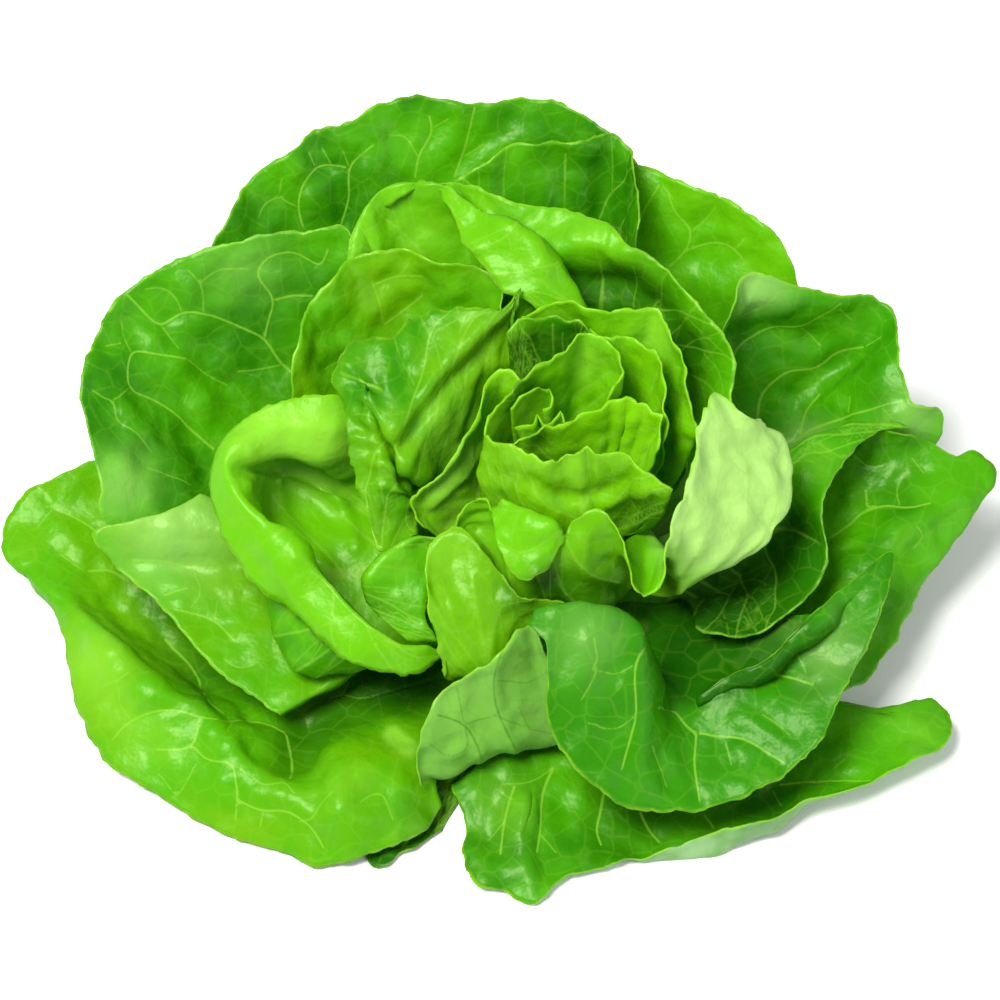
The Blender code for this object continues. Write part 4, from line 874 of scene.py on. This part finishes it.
def push_clear(grid, tree):
    """Moves a leaf toward a point over the head until it is clear of the leaves outside it."""
    for _ in range(PUSH_ROUNDS):
        need = np.zeros(grid.shape[:2])
        points, owners = cell_samples(grid)
        for point, (row, column) in zip(points, owners):
            ray = point - LAMP
            reach = np.linalg.norm(ray)
            ray /= reach
            place, normal, _, far = tree.ray_cast(Vector(LAMP), Vector(ray))
            if place is None:
                continue
            facing = max(abs(normal.dot(Vector(ray))), LEAST_FACING)
            lack = min(reach - (far - LEAST_GAP / facing), MOST_PUSH)
            if lack > 0:
                corners = need[row:row + 2, column:column + 2]
                np.maximum(corners, lack, out=corners)
        need[0] = 0
        if need.max() <= 0:
            break
        push = spread_out(need)
        push[0] = 0
        way = LAMP - grid
        way /= np.linalg.norm(way, axis=2, keepdims=True)
        grid = grid + way * push[..., None]
    return grid


def separate(leaves):
    """The grids of all leaves, outermost first, each pushed clear of the ones outside it."""
    grids = []
    points = []
    faces = []
    for leaf in leaves:
        grid = leaf_grid(leaf)
        if faces:
            tree = BVHTree.FromPolygons(points, faces)
            grid = push_clear(grid, tree)
        grids.append(grid)
        start = len(points)
        rows, columns = grid.shape[:2]
        points += [tuple(p) for p in grid.reshape(-1, 3)]
        for r in range(rows - 1):
            for c in range(columns - 1):
                a = start + r * columns + c
                faces.append((a, a + 1, a + columns + 1))
                faces.append((a, a + columns + 1, a + columns))
    return grids


def surface_normals(grid):
    """Unit normals of the grid's points."""
    normal = np.cross(np.gradient(grid, axis=0), np.gradient(grid, axis=1))
    return normal / np.maximum(np.linalg.norm(normal, axis=2, keepdims=True), TINY)


def fine_middle(grid):
    """The leaf's middle surface in small steps, and how far up the leaf each point is, from 0 to 1."""
    up_steps = step_lengths(grid).mean(axis=1)
    rim_steps = step_lengths(grid[-1])
    rows = math.ceil(up_steps.sum() / FINE_STEP) + 1
    columns = min(math.ceil(rim_steps.sum() / FINE_STEP) + 1, MOST_COLUMNS)
    up = np.linspace(0, 1, rows)
    fine = np.swapaxes(spline(reached(up_steps), grid, up), 0, 1)
    fine = spline(reached(rim_steps), fine, np.linspace(0, 1, columns))
    return np.swapaxes(fine, 0, 1), np.repeat(up[:, None], columns, axis=1)


def cell_of(share, count):
    """The cell that each share of the way falls in, and how far into it."""
    place = np.clip(share * (count - 1), 0, count - 1 - LAST_SHARE)
    cell = place.astype(int)
    return cell, (place - cell)[:, None]


def place_on(fine, up, along):
    """The points of the fine surface at shares up and along, between its grid points."""
    row, down = cell_of(up, fine.shape[0])
    column, across = cell_of(along, fine.shape[1])
    low = fine[row, column] * (1 - across) + fine[row, column + 1] * across
    high = fine[row + 1, column] * (1 - across) + fine[row + 1, column + 1] * across
    return low * (1 - down) + high * down


def paths_on(fine, lines):
    """Evenly spaced points along lines of (up, across) shares, with across from -1 to 1."""
    points = []
    for up, across in lines:
        inside = (np.abs(across) <= 1) & (up <= 1)
        if inside.sum() < 2:
            continue
        path = place_on(fine, up[inside], (across[inside] + 1) / 2)
        reach = np.concatenate([[0.0], np.cumsum(step_lengths(path))])
        where = np.arange(0, reach[-1], LINE_STEP)
        points.append(np.stack([np.interp(where, reach, path[:, k]) for k in range(3)], axis=1))
    return np.concatenate(points)


def midrib(leaf, fine, seed):
    """Points along the midrib, or along its low end only in a leaf whose veins are drawn."""
    steps = np.linspace(0, DRAWN_RIB_END if leaf.name in VEINS else GROWN_RIB_END, PATH_STEPS)
    return paths_on(fine, [(steps, RIB_WANDER * np.sin(RIB_WAVES * steps + seed) * steps)])


def wander(share, seed):
    """A slow sideways wave that keeps a vein from running straight."""
    waves = np.sin(SLOW_WAVES * share + seed) + QUICK_SIZE * np.sin(QUICK_WAVES * share + QUICK_SHIFT * seed)
    return VEIN_WANDER * waves * share * (1 - WANDER_FADE * share)


def grown_veins(fine, seed):
    """Side veins and their forks for a leaf whose veins aren't drawn, as points on its surface."""
    random = np.random.default_rng(seed)
    steps = np.linspace(0, 1, PATH_STEPS)
    side = []
    small = []
    for hand in (-1, 1):
        for number in range(SIDE_VEINS):
            order = (number + RIGHT_LAG * (hand > 0) + START_SCATTER * random.random()) / SIDE_VEINS
            start = FIRST_START + START_SPAN * order ** START_CROWDING
            spread = WIDEST_SPREAD * (1 - start) ** SPREAD_FADE
            up = start + (1.0 - start) * steps
            across = hand * spread * steps ** SPREAD_CURVE
            across = across + wander(steps, random.random() * WANDER_SEEDS)
            side.append((up, across))
            for fork in FORK_PLACES:
                first = fork + FORK_SCATTER * random.random()
                turn = random.choice([-1, 1])
                grown = (steps - first).clip(0)
                keep = (steps >= first) & (steps <= first + FORK_LENGTH)
                lean = turn * (FORK_LEAN + LEAN_SCATTER * random.random())
                rise = FORK_RISE if turn * hand < 0 else -FORK_RISE
                branch_up = up + rise * grown
                branch_across = across + lean * grown ** LEAN_CURVE
                small.append((branch_up[keep], branch_across[keep]))
    return paths_on(fine, side), paths_on(fine, small)


def smoothed(path):
    """The path without the small jumps from one point of the surface to the next."""
    if len(path) <= len(SMOOTHING):
        return path
    half = len(SMOOTHING) // 2
    padded = np.pad(np.array(path), ((half, half), (0, 0)), mode="edge")
    return np.stack([np.convolve(padded[:, k], SMOOTHING, mode="valid") for k in range(3)], axis=1)


def lay_on(fine, lines):
    """Points of drawn lines, laid on the layer of the surface that the view shows."""
    flat = fine.reshape(-1, 3)
    across, up, near = drawn_place(flat)
    laid = []
    for line in lines:
        drawn = np.array(line, dtype=float)
        steps = step_lengths(drawn)
        where = np.linspace(0, 1, math.ceil(steps.sum() / LINE_STEP) + 1)
        path = []
        for place in spline(reached(steps), drawn, where):
            away = (across - place[0]) ** 2 + (up - place[1]) ** 2
            close = np.flatnonzero(away < LAY_REACH ** 2)
            if len(close) == 0:
                continue
            front = close[near[close] > near[close].max() - LAYER_DEPTH]
            weight = np.exp(-away[front] / LAY_SOFTNESS)
            path.append((flat[front] * weight[:, None]).sum(axis=0) / weight.sum())
        laid.extend(smoothed(path))
    return np.array(laid).reshape(-1, 3)


def distance_to(fine, points):
    """Distance and offset of each grid point from the nearest of these points."""
    if len(points) == 0:
        return np.full(fine.shape[:2], FAR_FROM_LINES), np.full(fine.shape, FAR_FROM_LINES)
    tree = KDTree(len(points))
    for index, point in enumerate(points):
        tree.insert(point, index)
    tree.balance()
    flat = fine.reshape(-1, 3)
    nearest = np.array([tree.find(point)[1] for point in flat])
    offset = points[nearest] - flat
    distance = np.linalg.norm(offset, axis=1).reshape(fine.shape[:2])
    return np.minimum(distance, FAR_FROM_LINES), offset.reshape(fine.shape)


def wave_noise(fine, size, seed):
    """Soft noise over the surface, about -1 to 1, with lumps of this size in millimetres."""
    shift = Vector([seed * part for part in NOISE_SHIFT])
    flat = fine.reshape(-1, 3) / size
    return np.array([noise.noise(Vector(point) + shift) for point in flat]).reshape(fine.shape[:2])


def layered_noise(fine, layers, seed):
    """The sum of several layers of noise."""
    return sum(strength * wave_noise(fine, size, seed + shift) for strength, size, shift in layers)


def smooth_step(low, high, value):
    """0 below low, 1 above high and smooth between."""
    t = np.clip((value - low) / (high - low), 0, 1)
    return t * t * (3 - 2 * t)


def fold_heights(leaf, fine):
    """How far the leaf's drawn folds lift its surface toward the inner face."""
    folds = np.zeros(fine.shape[:2])
    for height, half_width, line in FOLDS.get(leaf.name, ()):
        from_fold = distance_to(fine, lay_on(fine, [line]))[0]
        folds += height * np.exp(-((from_fold / half_width) ** 2))
    return folds


def shade_light_and_pale_on(leaf, fine):
    """How much lighter or darker each point is, by the drawn places of the leaf: painted light and painted
    shade, and in a few places the leaf's own paler colour.
    """
    across, up, _ = drawn_place(fine)
    shade_light_and_pale = np.zeros(fine.shape[:2])
    for strength, radius, (tone_across, tone_up) in SHADE_LIGHT_AND_PALE_PLACES.get(leaf.name, ()):
        away = (across - tone_across) ** 2 + (up - tone_up) ** 2
        shade_light_and_pale += strength * np.exp(-away / radius ** 2)
    return shade_light_and_pale


def rim_cut(look, fine, from_rim, seed):
    """How the last rows move in and out along the leaf, so that its rim is cut unevenly."""
    rising = np.gradient(fine, axis=0)
    rising /= np.maximum(np.linalg.norm(rising, axis=2, keepdims=True), TINY)
    cut = look.teeth * layered_noise(fine, CUTS, seed) * smooth_step(CUT_REACH, 0.0, from_rim)
    return rising * cut[..., None]


def blade_faces(rows, columns):
    """Faces of a closed blade: its inner face, its outer face and the narrow band around both."""
    index = np.arange(rows * columns).reshape(rows, columns)
    a, b = index[:-1, :-1], index[:-1, 1:]
    d, e = index[1:, :-1], index[1:, 1:]
    other = rows * columns
    border = np.concatenate([index[0], index[1:, -1], index[-1, -2::-1], index[-2:0:-1, 0]])
    following = np.roll(border, -1)
    return np.concatenate([
        np.stack([a, b, e, d], axis=-1).reshape(-1, 4),
        np.stack([a + other, d + other, e + other, b + other], axis=-1).reshape(-1, 4),
        np.stack([border, border + other, following + other, following], axis=-1),
    ])


def grow_leaf(leaf, grid, seed):
    """Builds the fine blade of one leaf over the part's middle surface."""
    look = LOOKS.get(leaf.name, OUTER_LOOK)
    fine, up = fine_middle(grid)
    counterclockwise = leaf.root[1] > leaf.root[0]
    outward = surface_normals(fine) * (-1 if counterclockwise else 1)
    if leaf.name in VEINS:
        side, small = (lay_on(fine, lines) for lines in VEINS[leaf.name])
    else:
        side, small = grown_veins(fine, seed)
    from_rib = distance_to(fine, midrib(leaf, fine, seed))[0]
    from_side, to_side = distance_to(fine, side)
    from_small, to_small = distance_to(fine, small)
    from_rim = (1 - up) * step_lengths(fine).sum(axis=0)[None, :]

    # The tissue between the veins swells to the inner face, and the rim ruffles most of all.
    width = np.linalg.norm(np.diff(fine, axis=1), axis=2).sum(axis=1)[:, None] / (fine.shape[1] - 1)
    room = smooth_step(*ROOM_RANGE, width)
    nearest = np.minimum(np.minimum(from_rib, from_side), from_small + SMALL_VEIN_RISE)
    swell = look.swell * (1 - np.exp(-((nearest / VEIN_CHANNEL) ** CHANNEL_EDGE))) * room
    lumps = look.lumps * room * layered_noise(fine, LUMPS, seed)
    ruffle = look.ruffle * up ** RUFFLE_RISE * layered_noise(fine, RUFFLES, seed)
    relief = swell + lumps + ruffle + fold_heights(leaf, fine)
    middle = fine - outward * relief[..., None] + rim_cut(look, fine, from_rim, seed)

    # The blade thins toward its rim, and the midrib and side veins stand out on its outer face.
    blade = FINE_BLADE + (EDGE_BLADE - FINE_BLADE) * smooth_step(EDGE_START, 1, up)
    rib = RIB_SWELL * (1 - up) ** RIB_TAPER * np.exp(-((from_rib / RIB_HALF_WIDTH) ** 2))
    side_rib = np.exp(-((from_side / SIDE_VEIN_HALF_WIDTH) ** 2)) * room
    rib = rib + SIDE_VEIN_SWELL * (1 - SIDE_VEIN_FADE * up) * side_rib
    inner = middle - outward * (blade / 2)[..., None]
    outer = middle + outward * (blade / 2 + rib)[..., None]
    inner[..., 2] = np.maximum(inner[..., 2], INNER_LOWEST)
    outer[..., 2] = np.maximum(outer[..., 2], OUTER_LOWEST)

    faces = blade_faces(*up.shape)
    if counterclockwise:
        faces = faces[:, ::-1]
    piece = add_mesh("grown_" + leaf.name, np.concatenate([inner, outer]).reshape(-1, 3) * MM, faces)
    place = np.stack([up, from_rim, np.zeros(up.shape)], axis=-1)
    add_attribute(piece, "place", place, place + [0, 0, 1])
    add_attribute(piece, "veins", np.stack([from_rib, from_side, from_small], axis=-1))
    # The painted light and shade of the drawn places, with a few spots of the leaf's own paler colour.
    add_attribute(piece, "shade_light_and_pale", np.stack([shade_light_and_pale_on(leaf, fine)] * 3, axis=-1))
    add_attribute(piece, "to_side", to_side)
    add_attribute(piece, "to_small", to_small)
    piece.data.materials.append(leaf_material(leaf.name, look))
    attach(piece, "root")
    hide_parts(leaf.name)
    return piece


def add_mesh(name, points, faces):
    """A smooth mesh object from arrays of points and four-sided faces."""
    mesh = bpy.data.meshes.new(name)
    mesh.from_pydata(points.tolist(), [], faces.tolist())
    mesh.shade_smooth()
    mesh.update()
    thing = bpy.data.objects.new(name, mesh)
    bpy.context.scene.collection.objects.link(thing)
    return thing


def add_attribute(piece, name, inner, outer=None):
    """Writes three numbers a point for the materials, the same on both faces unless outer is given."""
    if outer is None:
        outer = inner
    layer = piece.data.attributes.new(name, "FLOAT_VECTOR", "POINT")
    layer.data.foreach_set("vector", np.concatenate([inner, outer]).astype(np.float32).reshape(-1))


class Shader:
    """Short ways to add the nodes of one material."""

    def __init__(self, name):
        self.material = bpy.data.materials.new(name)
        self.material.use_nodes = True
        self.tree = self.material.node_tree
        self.tree.nodes.clear()

    def node(self, kind, **settings):
        """A new node with these settings."""
        made = self.tree.nodes.new(kind)
        for key, value in settings.items():
            setattr(made, key, value)
        return made

    def feed(self, node, **values):
        """Links or sets the inputs of a node; an underscore in a name stands for a space."""
        for key, value in values.items():
            self.fill(node.inputs[key.replace("_", " ")], value)

    def fill(self, socket, value):
        """Links a socket to another one, or gives it a plain value."""
        if isinstance(value, bpy.types.NodeSocket):
            self.tree.links.new(value, socket)
        elif socket.type == "RGBA":
            socket.default_value = (*value, 1.0)
        else:
            socket.default_value = value

    def math(self, operation, first, second):
        """The result of one sum on two numbers."""
        made = self.node("ShaderNodeMath", operation=operation)
        self.fill(made.inputs[0], first)
        self.fill(made.inputs[1], second)
        return made.outputs[0]

    def step(self, value, low, high, start=0.0, end=1.0):
        """Goes smoothly from start at low to end at high."""
        made = self.node("ShaderNodeMapRange", interpolation_type="SMOOTHSTEP")
        self.feed(made, Value=value, From_Min=low, From_Max=high, To_Min=start, To_Max=end)
        return made.outputs["Result"]

    def blend(self, share, first, second):
        """The first colour, with this share of the second."""
        made = self.node("ShaderNodeMix", data_type="RGBA")
        for place, value in zip(MIX_INPUTS, (share, first, second)):
            self.fill(made.inputs[place], value)
        return made.outputs[MIX_RESULT]

    def cover(self, colour, share, strength, other):
        """The colour, covered by another where share is high, and at most by strength."""
        return self.blend(self.math("MULTIPLY", share, strength), colour, other)

    def attribute(self, name):
        """The three numbers of a mesh attribute."""
        made = self.node("ShaderNodeAttribute", attribute_name=name)
        parts = self.node("ShaderNodeSeparateXYZ")
        self.fill(parts.inputs[0], made.outputs["Vector"])
        return parts.outputs

    def noise(self, scale, detail, output="Fac"):
        """Noise over the object's own coordinates."""
        made = self.node("ShaderNodeTexNoise")
        self.feed(made, Vector=self.place(), Scale=scale, Detail=detail)
        return made.outputs[output]

    def place(self):
        """The object's own coordinates."""
        return self.node("ShaderNodeTexCoord").outputs["Object"]

    def net(self, size, bend):
        """Distance to the walls of irregular cells, in cells, over bent object coordinates."""
        shifted = self.node("ShaderNodeVectorMath", operation="MULTIPLY_ADD")
        parts = (self.noise(NET_WAVE / size, 0.0, "Color"), (bend, bend, bend), self.place())
        for socket, value in zip(shifted.inputs, parts):
            self.fill(socket, value)
        cells = self.node("ShaderNodeTexVoronoi", feature="DISTANCE_TO_EDGE")
        self.feed(cells, Vector=shifted.outputs[0], Scale=1.0 / size)
        return cells.outputs["Distance"]

    def line_distance(self, name, distance):
        """Distance from drawn lines: exact near a line, and never near 0 halfway between two lines."""
        offset = self.node("ShaderNodeAttribute", attribute_name=name).outputs["Vector"]
        length = self.node("ShaderNodeVectorMath", operation="LENGTH")
        self.fill(length.inputs[0], offset)
        return self.math("MAXIMUM", length.outputs["Value"], self.math("SUBTRACT", distance, CLEAR_OF_LINES))

    def finish(self, surface):
        """Makes this surface the material's own."""
        out = self.node("ShaderNodeOutputMaterial")
        self.feed(out, Surface=surface)
        return self.material


def leaf_colour(shader, name, look):
    """The colour of a leaf's skin: mottled greens with painted light and shade, its veins by rank and a
    painted highlight along its rim.
    """
    up, from_rim, under = shader.attribute("place")
    rib, side, small = shader.attribute("veins")
    shade_light_and_pale = shader.attribute("shade_light_and_pale")[0]
    marks = DRAWN_MARKS if name in VEINS else look.marks
    rib_share = DRAWN_RIB_SHARE if name in VEINS else GROWN_RIB_SHARE * marks

    # Mottled on the inner face, duller on the under side, with the lighter places (mostly painted light, in
    # a few places the leaf's own paler colour) and the darker places (painted shade).
    mottle = shader.step(shader.noise(*MOTTLE_NOISE), *MOTTLE_RANGE)
    colour = shader.blend(shader.step(shader.noise(*BROAD_NOISE), *BROAD_RANGE), look.deep, look.light)
    colour = shader.cover(colour, mottle, MOTTLE_SHARE, look.light)
    skin_under = shader.cover(look.under, mottle, UNDER_MOTTLE_SHARE, look.light)
    colour = shader.cover(colour, under, UNDER_SHARE, skin_under)
    colour = shader.blend(shader.step(shade_light_and_pale, 0.0, SHADE_LIGHT_AND_PALE_SPAN, 0.0, LIGHT_AND_PALE_SHARE), colour, look.pale)
    colour = shader.blend(shader.step(shade_light_and_pale, 0.0, -SHADE_LIGHT_AND_PALE_SPAN, 0.0, PAINTED_SHADE_SHARE), colour, PAINTED_SHADE_GREEN)

    # Painted shade toward the root, then the net, the small veins, the side veins, the midrib and the
    # painted highlight along the rim.
    colour = shader.cover(colour, shader.step(up, *ROOT_SHADE_RANGE), ROOT_SHADE_SHARE, PAINTED_SHADE_GREEN)
    near_net = shader.step(shader.net(NET_SIZE, NET_BEND), *NET_RANGE)
    colour = shader.cover(colour, near_net, NET_SHARE, look.vein)
    near_small = shader.step(shader.line_distance("to_small", small), *SMALL_RANGE)
    colour = shader.cover(colour, near_small, SMALL_SHARE * marks, look.vein)
    side_widths = shader.math("DIVIDE", shader.line_distance("to_side", side), shader.step(up, *SIDE_WIDTH))
    colour = shader.cover(colour, shader.step(side_widths, *VEIN_RANGE), SIDE_SHARE * marks, look.vein)
    rib_widths = shader.math("DIVIDE", rib, shader.step(up, *RIB_WIDTH))
    rib_colour = shader.blend(shader.step(up, *RIB_PALE_RANGE), STALK_CREAM, look.vein)
    colour = shader.cover(colour, shader.step(rib_widths, *VEIN_RANGE), rib_share, rib_colour)
    # The painted highlight of the rim, broken into patches.
    rim_highlight_patches = shader.step(mottle, *RIM_HIGHLIGHT_PATCHES)
    return shader.cover(colour, shader.step(from_rim, *RIM_HIGHLIGHT_RANGE), rim_highlight_patches, RIM_HIGHLIGHT_GREEN)


def leaf_material(name, look):
    """Satin skin with small soft blisters, and some light through the blade."""
    shader = Shader(name + "_skin")
    colour = leaf_colour(shader, name, look)
    blisters = shader.node("ShaderNodeBump")
    height = shader.noise(*BLISTER_NOISE)
    shader.feed(blisters, Strength=BLISTER_STRENGTH, Distance=BLISTER_DEPTH, Height=height)
    skin = shader.node("ShaderNodeBsdfPrincipled")
    shader.feed(
        skin, Base_Color=colour, Normal=blisters.outputs[0], Roughness=LEAF_ROUGHNESS,
        Specular_IOR_Level=LEAF_SPECULAR, Specular_Tint=SHEEN_GREEN,
    )
    through = shader.node("ShaderNodeBsdfTranslucent")
    shader.feed(through, Color=shader.blend(THROUGH_SHARE, colour, YELLOW_GREEN))
    both = shader.node("ShaderNodeMixShader")
    for socket, value in zip(both.inputs, (look.glow, skin.outputs[0], through.outputs[0])):
        shader.fill(socket, value)
    return shader.finish(both.outputs[0])


def plain_material(name, colour, roughness, grain=0.0):
    """One colour with a faint procedural mottling."""
    shader = Shader(name)
    dark = tuple(GRAIN_DARK * part for part in colour)
    skin = shader.node("ShaderNodeBsdfPrincipled")
    mottled = shader.cover(colour, shader.noise(*GRAIN_NOISE), grain, dark)
    shader.feed(skin, Base_Color=mottled, Roughness=roughness)
    return shader.finish(skin.outputs[0])


def add_floor():
    """A wide pale floor that isn't part of the object."""
    bpy.ops.mesh.primitive_plane_add(size=FLOOR_SIZE)
    floor = bpy.context.object
    floor.name = "floor"
    floor.data.materials.append(plain_material("floor_white", FLOOR_WHITE, FLOOR_ROUGHNESS))


def aim(name, data, place, way):
    """Puts a lamp or camera at a place, pointing this way."""
    thing = bpy.data.objects.new(name, data)
    thing.location = place
    thing.rotation_mode = "QUATERNION"
    thing.rotation_quaternion = way.to_track_quat("-Z", "Y")
    bpy.context.scene.collection.objects.link(thing)
    return thing


def add_light(name, place, size, power, colour):
    """A square soft light that looks at the head."""
    lamp = bpy.data.lights.new(name, "AREA")
    lamp.shape = "SQUARE"
    lamp.size = size
    lamp.energy = power
    lamp.color = colour
    aim(name, lamp, place, LIT_POINT - Vector(place))


def add_world():
    """Even white surroundings."""
    world = bpy.data.worlds.new("studio")
    world.use_nodes = True
    background = world.node_tree.nodes["Background"]
    background.inputs["Color"].default_value = (*WHITE, 1.0)
    background.inputs["Strength"].default_value = WORLD_STRENGTH
    bpy.context.scene.world = world


def add_camera():
    """The camera of the drawings: 50 degrees down, a metre from the middle of the drawing plane."""
    camera = bpy.data.cameras.new("camera")
    camera.sensor_width = SENSOR_WIDTH
    camera.lens = SENSOR_WIDTH * VIEW_DISTANCE / FRAME_WIDTH
    camera.clip_start = CLIP_START
    back = Vector(TOWARD_EYE)
    middle = (Vector((0.0, 0.0, PLANE_HEIGHT)) - Vector(STEM_PLACE)) * MM
    bpy.context.scene.camera = aim("camera", camera, middle + back * VIEW_DISTANCE * MM, -back)


def main():
    """Sets up the studio, grows the leaves and colours the stem."""
    bpy.context.scene.view_settings.view_transform = "Standard"
    add_camera()
    add_world()
    for light in LIGHTS:
        add_light(*light)
    add_floor()
    for seed, (leaf, grid) in enumerate(zip(LEAVES, separate(LEAVES))):
        grow_leaf(leaf, grid, seed)
    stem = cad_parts["stem"]
    stem.data.materials.clear()
    stem.data.materials.append(plain_material("stem_flesh", STEM_CREAM, STEM_ROUGHNESS, STEM_GRAIN))


main()
